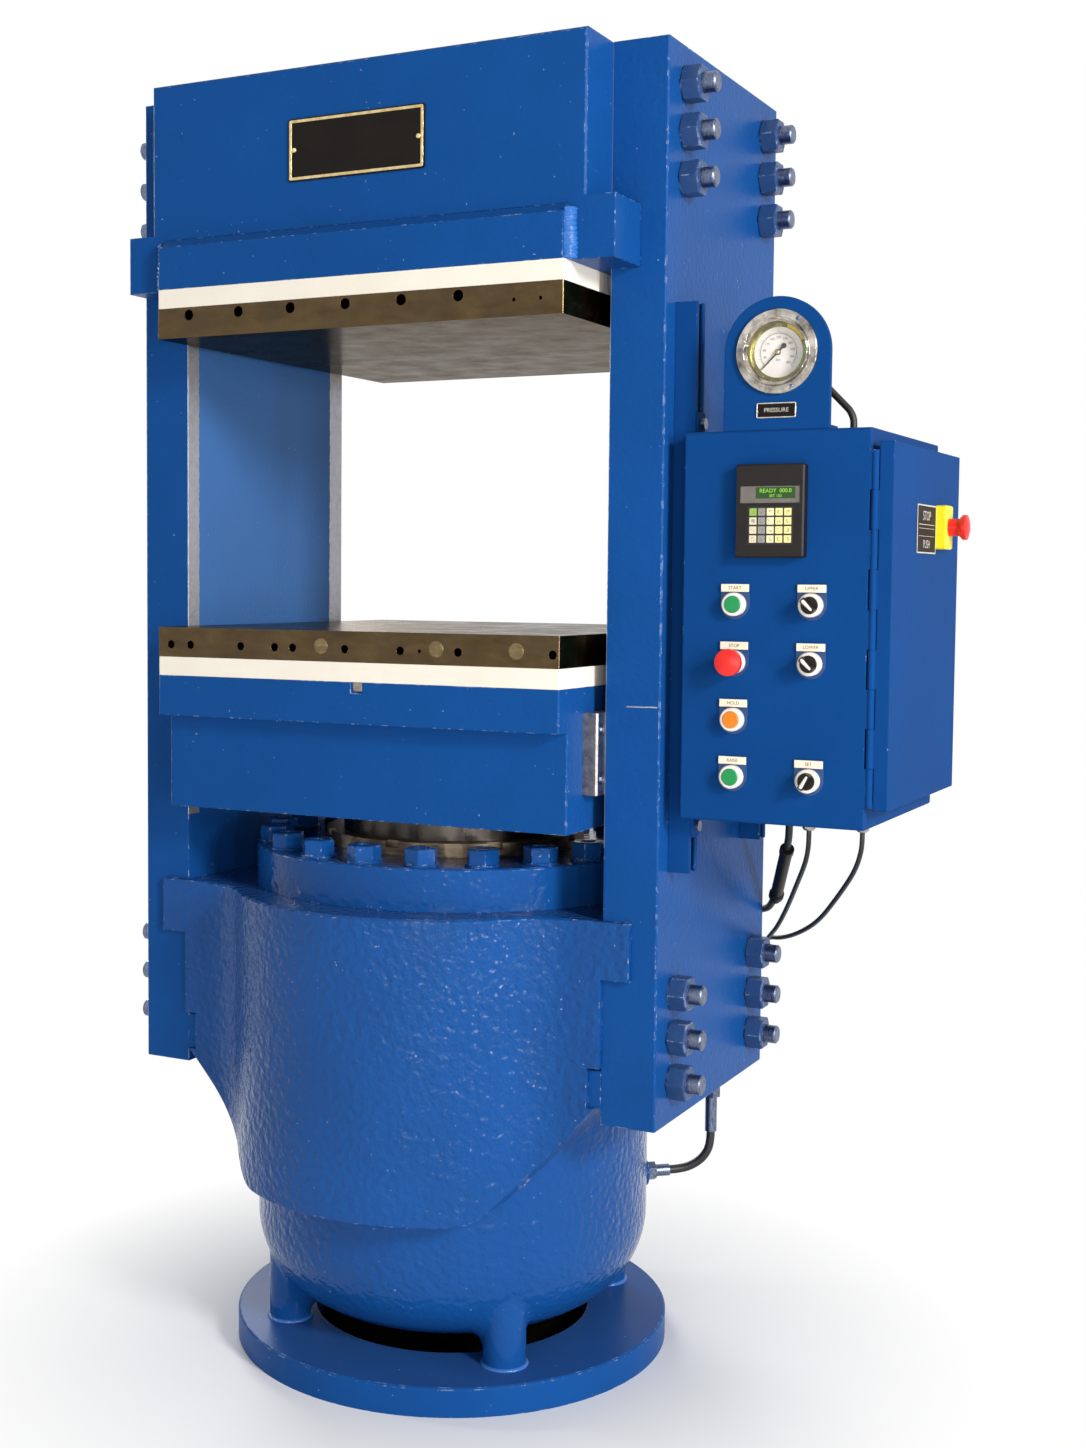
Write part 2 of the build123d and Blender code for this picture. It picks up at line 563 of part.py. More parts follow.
# Moving bolster: block with a wider top plate, as one machined slab
BOLSTER_EDGE = 2.0
BOLSTER_NOTCH_WIDTH = 22.0
BOLSTER_NOTCH_HEIGHT = 18.0
BOLSTER_NOTCH_DEPTH = 6.0
BOLSTER_NOTCH_SHARE = 0.045  # of the half-width, right of the middle
with BuildPart() as moving_bolster:
    with BuildSketch(Plane.XY.offset(BOLSTER_BOTTOM)):
        Rectangle(PLATEN_WIDTH, PLATEN_DEPTH - 2 * BOLSTER_SETBACK)
    extrude(amount=BOLSTER_BLOCK_HEIGHT)
    with BuildSketch(Plane.XY.offset(BOLSTER_STEP)):
        Rectangle(PLATEN_WIDTH, PLATEN_DEPTH)
    extrude(amount=BOLSTER_PLATE_HEIGHT)
    chamfer(edges().filter_by(Axis.Z), length=BOLSTER_EDGE)
    with BuildSketch(Plane.XZ.offset(-PLATEN_FRONT)):
        with Locations((BOLSTER_NOTCH_SHARE * PLATEN_WIDTH / 2, BOLSTER_TOP)):
            Rectangle(BOLSTER_NOTCH_WIDTH, 2 * BOLSTER_NOTCH_HEIGHT)
    extrude(amount=-BOLSTER_NOTCH_DEPTH, mode=Mode.SUBTRACT)
moving_bolster.part.label = "moving_bolster"
export_step(moving_bolster.part, "parts/moving_bolster.step")

# Guide gibs: bright steel shoes on the bolster's sides that run on the plates' inner faces
GIB_HEIGHT = 131.0
GIB_BOTTOM = 1036.0
GIB_LENGTH = 100.0
GIB_PROUD = 30.0  # in front of the plate's front face
GIB_EDGE = 3.0
GIB_BOLT_RADIUS = 9.0
GIB_HOLE_DEPTH = 16.0
GIB_BOLT_REACH = 26.0  # of the two bolts from the gib's ends
gib_thickness = PLATE_IN - RUN_GAP - PLATEN_WIDTH / 2
gib_middle = -PLATE_FRONT + GIB_PROUD - GIB_LENGTH / 2
gib_bolt_column = -PLATE_FRONT + GIB_PROUD / 2
with BuildPart() as guide_gibs:
    with BuildSketch(Plane.XY.offset(GIB_BOTTOM)):
        for side in (-1, 1):
            for front in (-1, 1):
                with Locations((side * (PLATEN_WIDTH / 2 + gib_thickness / 2), front * gib_middle)):
                    Rectangle(gib_thickness, GIB_LENGTH)
    extrude(amount=GIB_HEIGHT)
    gib_sides = edges().filter_by(Axis.Z).group_by(Axis.X)
    chamfer(gib_sides[0] + gib_sides[-1], length=GIB_EDGE)
    for facing in (-1, 1):
        with BuildSketch(side_plane(facing * (PLATE_IN - RUN_GAP), facing)):
            for height in (GIB_BOTTOM + GIB_BOLT_REACH, GIB_BOTTOM + GIB_HEIGHT - GIB_BOLT_REACH):
                with Locations((-gib_bolt_column, height), (gib_bolt_column, height)):
                    Circle(GIB_BOLT_RADIUS)
        extrude(amount=-GIB_HOLE_DEPTH, mode=Mode.SUBTRACT)
guide_gibs.part.label = "guide_gibs"
export_step(guide_gibs.part, "parts/guide_gibs.step")

# Nameplate: plain pressed plate on the crown's front
NAMEPLATE_WIDTH = 256.0
NAMEPLATE_HEIGHT = 101.0
NAMEPLATE_THICKNESS = 3.0
NAMEPLATE_MIDDLE = 2078.0
NAMEPLATE_CORNER = 4.0
with BuildPart() as nameplate:
    with BuildSketch(Plane.XZ.offset(-CROWN_FRONT)):
        with Locations((0, NAMEPLATE_MIDDLE)):
            RectangleRounded(NAMEPLATE_WIDTH, NAMEPLATE_HEIGHT, NAMEPLATE_CORNER)
    extrude(amount=NAMEPLATE_THICKNESS)
nameplate.part.label = "nameplate"
export_step(nameplate.part, "parts/nameplate.step")

# Cabinet rails: two slotted channels on the right plate that carry the cabinet
RAIL_WALL = 3.0
RAIL_SLOT = 18.0
RAIL_TOP = 1813.0
FRONT_RAIL_INSET = 59.0  # from the cabinet's front and rear to the channels' middles
REAR_RAIL_INSET = 15.0
FRONT_RAIL = CABINET_FRONT + FRONT_RAIL_INSET
REAR_RAIL = CABINET_REAR - REAR_RAIL_INSET
FRONT_RAIL_BOTTOM = 913.0
REAR_RAIL_BOTTOM = 926.0
rail_middle = PLATE_OUT + RAIL_SIDE / 2
with BuildPart() as cabinet_rails:
    for rail, rail_bottom in ((FRONT_RAIL, FRONT_RAIL_BOTTOM), (REAR_RAIL, REAR_RAIL_BOTTOM)):
        with BuildSketch(Plane.XY.offset(rail_bottom)):
            with Locations((rail_middle, rail)):
                Rectangle(RAIL_SIDE, RAIL_SIDE)
                Rectangle(RAIL_SIDE - 2 * RAIL_WALL, RAIL_SIDE - 2 * RAIL_WALL, mode=Mode.SUBTRACT)
            with Locations((CABINET_BACK, rail)):
                Rectangle(RAIL_SIDE, RAIL_SLOT, mode=Mode.SUBTRACT)
        extrude(amount=RAIL_TOP - rail_bottom)
cabinet_rails.part.label = "cabinet_rails"
export_step(cabinet_rails.part, "parts/cabinet_rails.step")

# Door and hinge sizes, which the cabinet's open side follows
DOOR_GAP = 13.0  # between the cabinet and the door's pan, filled by the gasket
DOOR_THICKNESS = 21.0
DOOR_FRONT = -254.0
DOOR_WIDTH = 419.0
DOOR_BOTTOM = 1036.0
DOOR_HEIGHT = 550.0
DOOR_SKIN = 2.0
DOOR_RETURN = 26.0
DOOR_CORNER = 3.0
GASKET_INSET = 12.0
GASKET_WIDTH = 12.0
OPENING_MARGIN = 4.0  # the cabinet's lip reaches this far inside the gasket
HINGE_SETBACK = 7.0  # of the hinge's axis outside the cabinet's open side
HINGE_IN = 4.0  # of the hinge's axis behind the cabinet's front
HINGE_BOTTOM = 1041.0
HINGE_HEIGHT = 532.0
HINGE_KNUCKLES = 9
KNUCKLE_OUTSIDE = 5.5
HINGE_PIN_RADIUS = 3.0
DOOR_INSIDE = CABINET_SIDE + DOOR_GAP
DOOR_OUTSIDE = DOOR_INSIDE + DOOR_THICKNESS
DOOR_CENTRE = (DOOR_FRONT + DOOR_WIDTH / 2, DOOR_BOTTOM + DOOR_HEIGHT / 2)
HINGE_X = CABINET_SIDE + HINGE_SETBACK
HINGE_Y = CABINET_FRONT + HINGE_IN
OPENING_INSET = GASKET_INSET + GASKET_WIDTH + OPENING_MARGIN
knuckle_pitch = HINGE_HEIGHT / HINGE_KNUCKLES

# Places of the operators on the cabinet's front, as columns in X and rows in Z
LEFT_COLUMN = 621.0
RIGHT_COLUMN = 742.0
TOP_ROW = 1342.0
ROW_PITCH = 88.3
ROW_HEIGHTS = [TOP_ROW - row * ROW_PITCH for row in range(4)]
START_SPOT, STOP_SPOT, HOLD_SPOT, RAISE_SPOT = [(LEFT_COLUMN, height) for height in ROW_HEIGHTS]
UPPER_SELECTOR_SPOT = (RIGHT_COLUMN, ROW_HEIGHTS[0])
LOWER_SELECTOR_SPOT = (RIGHT_COLUMN, ROW_HEIGHTS[1])
SETTING_SPOT = (RIGHT_COLUMN, ROW_HEIGHTS[3])
PUSH_SPOTS = [START_SPOT, STOP_SPOT, HOLD_SPOT, RAISE_SPOT]
TURN_SPOTS = [UPPER_SELECTOR_SPOT, LOWER_SELECTOR_SPOT, SETTING_SPOT]
OPERATOR_SPOTS = PUSH_SPOTS + TURN_SPOTS
OPERATOR_HOLE = 11.25

# Operator terminal's place and cut-out
TERMINAL_X = 678.5
TERMINAL_Z = 1483.5
TERMINAL_WIDTH = 107.0
TERMINAL_HEIGHT = 141.0
TERMINAL_PROUD = 18.0
TERMINAL_RIM = 7.0  # of the frame round the wall's cut-out
CUTOUT_GAP = 0.5

# Cable glands: the cables' places under the cabinet and the gauge hose's on its top
SUPPLY_GLAND = (605.0, 80.0)
VALVE_GLAND = (704.0, -130.0)
SWITCH_GLAND = (784.0, -108.0)
HOSE_GLAND = (763.0, -130.0)
CABLE_GLANDS = (SUPPLY_GLAND, VALVE_GLAND, SWITCH_GLAND)
GLAND_THREAD = 8.0

# Mounting panel inside, on four welded studs
PANEL_STANDOFF = 10.0
PANEL_THICKNESS = 2.5
PANEL_MARGIN = 30.0  # from the cabinet's sides
PANEL_STUD_INSET = 15.0
PANEL_STUD_RADIUS = 3.0
PANEL_STUD_TAIL = 12.0
PANEL_SPACER_RADIUS = 5.0
PANEL_BACK = CABINET_BACK + CABINET_WALL + PANEL_STANDOFF
PANEL_FRONT = PANEL_BACK + PANEL_THICKNESS
PANEL_WIDTH = CABINET_DEPTH - 2 * PANEL_MARGIN
PANEL_HEIGHT = CABINET_HEIGHT - 2 * PANEL_MARGIN
PANEL_STUD_PITCH = (PANEL_WIDTH - 2 * PANEL_STUD_INSET, PANEL_HEIGHT - 2 * PANEL_STUD_INSET)
CABINET_CENTRE = (CABINET_MIDDLE, CABINET_BOTTOM + CABINET_HEIGHT / 2)

# Mounting feet on the cabinet's back, bolted to nuts in the rails
FOOT_TAB_WIDTH = 30.0
FOOT_TAB_HEIGHT = 35.0
FOOT_TAB_THICKNESS = 4.0
FOOT_BOLT_RADIUS = 5.0
FOOT_SPOTS = [
    (rail, height)
    for rail in (FRONT_RAIL, REAR_RAIL)
    for height in (CABINET_BOTTOM - FOOT_TAB_HEIGHT / 2, CABINET_TOP + FOOT_TAB_HEIGHT / 2)
]


def hinge_knuckles(first):
    """Heights of every other knuckle of the hinge, from the first one given."""
    return [HINGE_BOTTOM + step * knuckle_pitch for step in range(first, HINGE_KNUCKLES, 2)]


# Cabinet body: folded box, open to +X behind a lip that the gasket seals on
with BuildPart() as cabinet_body:
    with BuildSketch(Plane.YZ.offset(CABINET_BACK)):
        with Locations(CABINET_CENTRE):
            RectangleRounded(CABINET_DEPTH, CABINET_HEIGHT, CABINET_CORNER)
    extrude(amount=CABINET_LENGTH)
    with BuildSketch(Plane.YZ.offset(CABINET_BACK + CABINET_WALL)):
        with Locations(CABINET_CENTRE):
            RectangleRounded(
                CABINET_DEPTH - 2 * CABINET_WALL,
                CABINET_HEIGHT - 2 * CABINET_WALL,
                CABINET_CORNER - CABINET_WALL,
            )
    extrude(amount=CABINET_LENGTH - 2 * CABINET_WALL, mode=Mode.SUBTRACT)
    with BuildSketch(Plane.YZ.offset(CABINET_SIDE)):
        with Locations(DOOR_CENTRE):
            Rectangle(DOOR_WIDTH - 2 * OPENING_INSET, DOOR_HEIGHT - 2 * OPENING_INSET)
    extrude(amount=-CABINET_WALL, mode=Mode.SUBTRACT)
    with BuildSketch(Plane.YZ.offset(CABINET_BACK)):
        with Locations(*FOOT_SPOTS):
            Rectangle(FOOT_TAB_WIDTH, FOOT_TAB_HEIGHT)
    extrude(amount=FOOT_TAB_THICKNESS)
    with BuildSketch(Plane.YZ.offset(CABINET_BACK)):
        with Locations(*FOOT_SPOTS):
            Circle(FOOT_BOLT_RADIUS + HOLE_GAP / 2)
    extrude(amount=FOOT_TAB_THICKNESS, mode=Mode.SUBTRACT)
    with BuildSketch(Plane.XZ.offset(-CABINET_FRONT)):
        with Locations(*OPERATOR_SPOTS):
            Circle(OPERATOR_HOLE)
        with Locations((TERMINAL_X, TERMINAL_Z)):
            Rectangle(TERMINAL_WIDTH - 2 * TERMINAL_RIM, TERMINAL_HEIGHT - 2 * TERMINAL_RIM)
    extrude(amount=-CABINET_WALL, mode=Mode.SUBTRACT)
    with BuildSketch(Plane.XY.offset(CABINET_BOTTOM)):
        with Locations(*CABLE_GLANDS):
            Circle(GLAND_THREAD + HOLE_GAP / 2)
    extrude(amount=CABINET_WALL, mode=Mode.SUBTRACT)
    with BuildSketch(Plane.XY.offset(CABINET_TOP)):
        with Locations(HOSE_GLAND):
            Circle(GLAND_THREAD + HOLE_GAP / 2)
    extrude(amount=-CABINET_WALL, mode=Mode.SUBTRACT)
    for radius, stud_length in (
        (PANEL_SPACER_RADIUS, PANEL_STANDOFF),
        (PANEL_STUD_RADIUS, PANEL_STANDOFF + PANEL_STUD_TAIL),
    ):
        with BuildSketch(Plane.YZ.offset(CABINET_BACK + CABINET_WALL)):
            with Locations(CABINET_CENTRE):
                with GridLocations(*PANEL_STUD_PITCH, 2, 2):
                    Circle(radius)
        extrude(amount=stud_length)
    for height in hinge_knuckles(0):
        with BuildSketch(Plane.XY.offset(height)):
            with Locations((HINGE_X, HINGE_Y)):
                Circle(KNUCKLE_OUTSIDE)
            with Locations((CABINET_SIDE, CABINET_FRONT)):
                Rectangle(HINGE_SETBACK, CABINET_WALL, align=(Align.MIN, Align.MIN))
            with Locations((HINGE_X, HINGE_Y)):
                Circle(HINGE_PIN_RADIUS + PIN_GAP, mode=Mode.SUBTRACT)
        extrude(amount=knuckle_pitch - RUN_GAP)
cabinet_body.part.label = "cabinet_body"
export_step(cabinet_body.part, "parts/cabinet_body.step")

# Cabinet fasteners: bolts through the feet into nuts held inside the rails, and the panel's nuts
FOOT_BOLT_HEAD = 17.0
FOOT_BOLT_HEAD_HEIGHT = 7.0
RAIL_NUT_LENGTH = 26.0
RAIL_NUT_WIDTH = 20.0
RAIL_NUT_HEIGHT = 8.0
PANEL_NUT_ACROSS = 10.0
PANEL_NUT_HEIGHT = 5.0
foot_face = CABINET_BACK + FOOT_TAB_THICKNESS
rail_lip = CABINET_BACK - RAIL_WALL
with BuildPart() as cabinet_fasteners:
    with BuildSketch(Plane.YZ.offset(foot_face)):
        with Locations(*FOOT_SPOTS):
            RegularPolygon(FOOT_BOLT_HEAD / 2, side_count=6, major_radius=False)
    extrude(amount=FOOT_BOLT_HEAD_HEIGHT)
    with BuildSketch(Plane.YZ.offset(foot_face)):
        with Locations(*FOOT_SPOTS):
            Circle(FOOT_BOLT_RADIUS)
    extrude(amount=-FOOT_TAB_THICKNESS - RAIL_WALL - RAIL_NUT_HEIGHT)
    with BuildSketch(Plane.YZ.offset(rail_lip)):
        with Locations(*FOOT_SPOTS):
            Rectangle(RAIL_NUT_LENGTH, RAIL_NUT_WIDTH)
    extrude(amount=-RAIL_NUT_HEIGHT)
    with BuildSketch(Plane.YZ.offset(PANEL_FRONT)):
        with Locations(CABINET_CENTRE):
            with GridLocations(*PANEL_STUD_PITCH, 2, 2):
                RegularPolygon(PANEL_NUT_ACROSS / 2, side_count=6, major_radius=False)
                Circle(PANEL_STUD_RADIUS + THREAD_GAP, mode=Mode.SUBTRACT)
    extrude(amount=PANEL_NUT_HEIGHT)
cabinet_fasteners.part.label = "cabinet_fasteners"
export_step(cabinet_fasteners.part, "parts/cabinet_fasteners.step")

# Mounting panel and the devices that it carries
with BuildPart() as mounting_panel:
    with BuildSketch(Plane.YZ.offset(PANEL_BACK)):
        with Locations(CABINET_CENTRE):
            Rectangle(PANEL_WIDTH, PANEL_HEIGHT)
            with GridLocations(*PANEL_STUD_PITCH, 2, 2):
                Circle(PANEL_STUD_RADIUS + HOLE_GAP / 2, mode=Mode.SUBTRACT)
    extrude(amount=PANEL_THICKNESS)
mounting_panel.part.label = "mounting_panel"
export_step(mounting_panel.part, "parts/mounting_panel.step")

DIN_WIDTH = 35.0
DIN_HEIGHT = 7.5
DIN_LENGTH = 300.0
DEVICE_ROW = 1430.0
TERMINAL_ROW = 1120.0
SUPPLY_SIZE = (110.0, 125.0, 62.0)  # along the rail, up, off the rail
SUPPLY_SHARE = -0.3  # of the rail's length, from its middle
RELAY_SIZE = (23.0, 76.0, 60.0)
RELAY_COUNT = 5
RELAY_PITCH = 27.0
RELAY_START_SHARE = 0.0
DEVICE_EDGE = 3.0
TERMINAL_BLOCK_SIZE = (7.6, 56.0, 45.0)
TERMINAL_BLOCK_PITCH = 8.0
TERMINAL_BLOCK_COUNT = 24
TERMINAL_BLOCK_STEP = 14.0
rail_face = PANEL_FRONT + DIN_HEIGHT
with BuildPart() as panel_devices:
    with BuildSketch(Plane.YZ.offset(PANEL_FRONT)):
        with Locations((CABINET_MIDDLE, DEVICE_ROW)):
            Rectangle(DIN_LENGTH, DIN_WIDTH)
    extrude(amount=DIN_HEIGHT)
    with BuildSketch(Plane.YZ.offset(rail_face)):
        with Locations((CABINET_MIDDLE + SUPPLY_SHARE * DIN_LENGTH, DEVICE_ROW)):
            Rectangle(SUPPLY_SIZE[0], SUPPLY_SIZE[1])
    extrude(amount=SUPPLY_SIZE[2])
    with BuildSketch(Plane.YZ.offset(rail_face)):
        for relay in range(RELAY_COUNT):
            relay_middle = CABINET_MIDDLE + RELAY_START_SHARE * DIN_LENGTH + relay * RELAY_PITCH
            with Locations((relay_middle, DEVICE_ROW)):
                Rectangle(RELAY_SIZE[0], RELAY_SIZE[1])
    extrude(amount=RELAY_SIZE[2])
    chamfer(faces().filter_by(Plane.YZ).group_by(Axis.X)[-1].edges(), length=DEVICE_EDGE)
panel_devices.part.label = "panel_devices"
export_step(panel_devices.part, "parts/panel_devices.step")

with BuildPart() as terminal_strip:
    with BuildSketch(Plane.YZ.offset(PANEL_FRONT)):
        with Locations((CABINET_MIDDLE, TERMINAL_ROW)):
            Rectangle(DIN_LENGTH, DIN_WIDTH)
    extrude(amount=DIN_HEIGHT)
    with BuildSketch(Plane.YZ.offset(rail_face)):
        with Locations((CABINET_MIDDLE, TERMINAL_ROW)):
            with GridLocations(TERMINAL_BLOCK_PITCH, 0, TERMINAL_BLOCK_COUNT, 1):
                Rectangle(TERMINAL_BLOCK_SIZE[0], TERMINAL_BLOCK_SIZE[1])
    extrude(amount=TERMINAL_BLOCK_SIZE[2] - TERMINAL_BLOCK_STEP)
    with BuildSketch(Plane.YZ.offset(rail_face + TERMINAL_BLOCK_SIZE[2] - TERMINAL_BLOCK_STEP)):
        with Locations((CABINET_MIDDLE, TERMINAL_ROW)):
            with GridLocations(TERMINAL_BLOCK_PITCH, 0, TERMINAL_BLOCK_COUNT, 1):
                Rectangle(TERMINAL_BLOCK_SIZE[0], TERMINAL_BLOCK_SIZE[1] / 2)
    extrude(amount=TERMINAL_BLOCK_STEP)
terminal_strip.part.label = "terminal_strip"
export_step(terminal_strip.part, "parts/terminal_strip.step")

# Hinge pin and door: a pan with turned-in returns that carry the gasket
with BuildPart() as hinge_pin:
    with BuildSketch(Plane.XY.offset(HINGE_BOTTOM)):
        with Locations((HINGE_X, HINGE_Y)):
            Circle(HINGE_PIN_RADIUS)
    extrude(amount=HINGE_HEIGHT - RUN_GAP)
hinge_pin.part.label = "hinge_pin"
export_step(hinge_pin.part, "parts/hinge_pin.step")

STOP_BOX_Y = 31.0
STOP_BOX_Z = 1466.0
STOP_BOX_WIDTH = 46.0
STOP_BOX_HEIGHT = 70.0
STOP_BOX_DEPTH = 17.0
STOP_BOX_CORNER = 4.0
STOP_BOX_EDGE = 2.0
STOP_BORE_DEPTH = 15.0
STOP_NECK_RADIUS = 14.0
STOP_HEAD_RADIUS = 20.0
STOP_REACH = 49.0  # of the mushroom's front from the door's face
STOP_HEAD_HEIGHT = 10.0
STOP_FLARE = 6.0
STOP_DOME = 4.0
STOP_TRAVEL = 5.0
CONTACT_SIDE = 30.0
CONTACT_DEPTH = 18.0
STOP_BARREL = 11.0
STOP_BOX_CENTRE = (STOP_BOX_Y, STOP_BOX_Z)
with BuildPart() as cabinet_door:
    with BuildSketch(Plane.YZ.offset(DOOR_INSIDE)):
        with Locations(DOOR_CENTRE):
            RectangleRounded(DOOR_WIDTH, DOOR_HEIGHT, DOOR_CORNER)
    extrude(amount=DOOR_THICKNESS)
    with BuildSketch(Plane.YZ.offset(DOOR_INSIDE + DOOR_SKIN)):
        with Locations(DOOR_CENTRE):
            RectangleRounded(
                DOOR_WIDTH - 2 * DOOR_SKIN, DOOR_HEIGHT - 2 * DOOR_SKIN, DOOR_CORNER - DOOR_SKIN
            )
    extrude(amount=DOOR_THICKNESS - 2 * DOOR_SKIN, mode=Mode.SUBTRACT)
    with BuildSketch(Plane.YZ.offset(DOOR_INSIDE)):
        with Locations(DOOR_CENTRE):
            Rectangle(DOOR_WIDTH - 2 * DOOR_RETURN, DOOR_HEIGHT - 2 * DOOR_RETURN)
    extrude(amount=DOOR_SKIN, mode=Mode.SUBTRACT)
    with BuildSketch(Plane.YZ.offset(DOOR_OUTSIDE)):
        with Locations(STOP_BOX_CENTRE):
            Circle(STOP_BARREL + HOLE_GAP / 2)
    extrude(amount=-DOOR_SKIN, mode=Mode.SUBTRACT)
    for height in hinge_knuckles(1):
        with BuildSketch(Plane.XY.offset(height)):
            with Locations((HINGE_X, HINGE_Y)):
                Circle(KNUCKLE_OUTSIDE)
            with Locations((HINGE_X, DOOR_FRONT)):
                Rectangle(DOOR_INSIDE + DOOR_SKIN - HINGE_X, DOOR_SKIN, align=(Align.MIN, Align.MIN))
            with Locations((HINGE_X, HINGE_Y)):
                Circle(HINGE_PIN_RADIUS + PIN_GAP, mode=Mode.SUBTRACT)
        extrude(amount=knuckle_pitch - RUN_GAP)
cabinet_door.part.label = "cabinet_door"
export_step(cabinet_door.part, "parts/cabinet_door.step")

with BuildPart() as door_gasket:
    with BuildSketch(Plane.YZ.offset(CABINET_SIDE + RUN_GAP)):
        with Locations(DOOR_CENTRE):
            Rectangle(DOOR_WIDTH - 2 * GASKET_INSET, DOOR_HEIGHT - 2 * GASKET_INSET)
            Rectangle(
                DOOR_WIDTH - 2 * GASKET_INSET - 2 * GASKET_WIDTH,
                DOOR_HEIGHT - 2 * GASKET_INSET - 2 * GASKET_WIDTH,
                mode=Mode.SUBTRACT,
            )
    extrude(amount=DOOR_GAP - RUN_GAP)
door_gasket.part.label = "door_gasket"
export_step(door_gasket.part, "parts/door_gasket.step")

# Stop station on the door: yellow box with its contact block behind the skin
stop_box_face = DOOR_OUTSIDE + STOP_BOX_DEPTH
contact_front = DOOR_OUTSIDE - DOOR_SKIN
with BuildPart() as door_stop_box:
    with BuildSketch(Plane.YZ.offset(DOOR_OUTSIDE)):
        with Locations(STOP_BOX_CENTRE):
            RectangleRounded(STOP_BOX_WIDTH, STOP_BOX_HEIGHT, STOP_BOX_CORNER)
    extrude(amount=STOP_BOX_DEPTH)
    chamfer(faces().sort_by(Axis.X)[-1].edges(), length=STOP_BOX_EDGE)
    with BuildSketch(Plane.YZ.offset(stop_box_face)):
        with Locations(STOP_BOX_CENTRE):
            Circle(STOP_NECK_RADIUS + RUN_GAP)
    extrude(amount=-STOP_BORE_DEPTH, mode=Mode.SUBTRACT)
    with BuildSketch(Plane.YZ.offset(DOOR_OUTSIDE)):
        with Locations(STOP_BOX_CENTRE):
            Circle(STOP_BARREL)
    extrude(amount=-DOOR_SKIN)
    with BuildSketch(Plane.YZ.offset(contact_front)):
        with Locations(STOP_BOX_CENTRE):
            Rectangle(CONTACT_SIDE, CONTACT_SIDE)
    extrude(amount=-CONTACT_DEPTH)
door_stop_box.part.label = "door_stop_box"
export_step(door_stop_box.part, "parts/door_stop_box.step")

stop_front = DOOR_OUTSIDE + STOP_REACH
stop_neck_end = stop_box_face - STOP_BORE_DEPTH + STOP_TRAVEL + RUN_GAP
stop_head_back = stop_front - STOP_HEAD_HEIGHT
with BuildPart() as door_stop_mushroom:
    with BuildSketch(Plane(origin=(0, STOP_BOX_Y, STOP_BOX_Z), x_dir=(1, 0, 0), z_dir=(0, -1, 0))):
        with BuildLine():
            Polyline(
                (stop_front, 0),
                (stop_neck_end, 0),
                (stop_neck_end, STOP_NECK_RADIUS),
                (stop_head_back - STOP_FLARE, STOP_NECK_RADIUS),
                (stop_head_back, STOP_HEAD_RADIUS),
                (stop_front - STOP_DOME, STOP_HEAD_RADIUS),
            )
            TangentArc((stop_front, 0), (stop_front - STOP_DOME, STOP_HEAD_RADIUS), tangent=(0, 1))
        make_face()
    revolve(axis=Axis((0, STOP_BOX_Y, STOP_BOX_Z), (1, 0, 0)))
door_stop_mushroom.part.label = "door_stop_mushroom"
export_step(door_stop_mushroom.part, "parts/door_stop_mushroom.step")

# Gauge bracket: arched plate with a foot on the cabinet's top
BRACKET_WIDTH = 166.0
BRACKET_THICKNESS = 9.5
BRACKET_HEIGHT = 200.0
BRACKET_X = 679.0
BRACKET_SETBACK = 3.0  # behind the cabinet's front
BRACKET_FOOT = 45.0
BRACKET_FOOT_THICKNESS = 6.0
GAUGE_CASE_RADIUS = 50.0
GAUGE_CASE_GAP = 1.0
BRACKET_FRONT = CABINET_FRONT + BRACKET_SETBACK
GAUGE_Z = CABINET_TOP + BRACKET_HEIGHT - BRACKET_WIDTH / 2
GAUGE_X = BRACKET_X
with BuildPart() as gauge_bracket:
    with BuildSketch(Plane.XZ.offset(-BRACKET_FRONT)):
        with Locations((BRACKET_X, CABINET_TOP)):
            Rectangle(BRACKET_WIDTH, GAUGE_Z - CABINET_TOP, align=(Align.CENTER, Align.MIN))
        with Locations((GAUGE_X, GAUGE_Z)):
            Circle(BRACKET_WIDTH / 2)
            Circle(GAUGE_CASE_RADIUS + GAUGE_CASE_GAP, mode=Mode.SUBTRACT)
    extrude(amount=-BRACKET_THICKNESS)
    with BuildSketch(Plane.XY.offset(CABINET_TOP)):
        with Locations((BRACKET_X, BRACKET_FRONT)):
            Rectangle(BRACKET_WIDTH, BRACKET_FOOT, align=(Align.CENTER, Align.MIN))
    extrude(amount=BRACKET_FOOT_THICKNESS)
gauge_bracket.part.label = "gauge_bracket"
export_step(gauge_bracket.part, "parts/gauge_bracket.step")

# Pressure gauge: case with a rear stem, flanged bezel, dial, needle and lens
BEZEL_RADIUS = 64.0
BEZEL_THICKNESS = 5.0
BEZEL_RING_RADIUS = 52.0
BEZEL_RING_HEIGHT = 6.0
WINDOW_RADIUS = 45.0
LENS_RADIUS = 48.0
LENS_THICKNESS = 2.5
CASE_WALL = 4.0
CASE_DEPTH = 52.0
CASE_FLOOR = 4.0
STEM_RADIUS = 11.0
STEM_LENGTH = 20.0
DIAL_DEPTH = 8.0  # of the dial's face behind the case's rim
DIAL_THICKNESS = 1.5
DIAL_SHAFT_GAP = 0.4
NEEDLE_SHAFT = 1.5
NEEDLE_HUB = 4.5
NEEDLE_LENGTH = 37.0
NEEDLE_TAIL = 13.0
NEEDLE_WIDTH = 3.0
NEEDLE_TIP = 0.8
NEEDLE_PAD = 4.0  # round counterweight on the tail
NEEDLE_THICKNESS = 1.2
NEEDLE_LIFT = 2.0  # over the dial's face
NEEDLE_REST = 225.0  # degrees from +X in the view from the front: at the scale's zero
BEZEL_EDGE = 1.5
gauge_plane = Plane(origin=(GAUGE_X, 0, GAUGE_Z))
gauge_axis = Axis((GAUGE_X, 0, GAUGE_Z), (0, 1, 0))
case_back = BRACKET_FRONT + CASE_DEPTH
dial_face = BRACKET_FRONT + DIAL_DEPTH
dial_back = dial_face + DIAL_THICKNESS
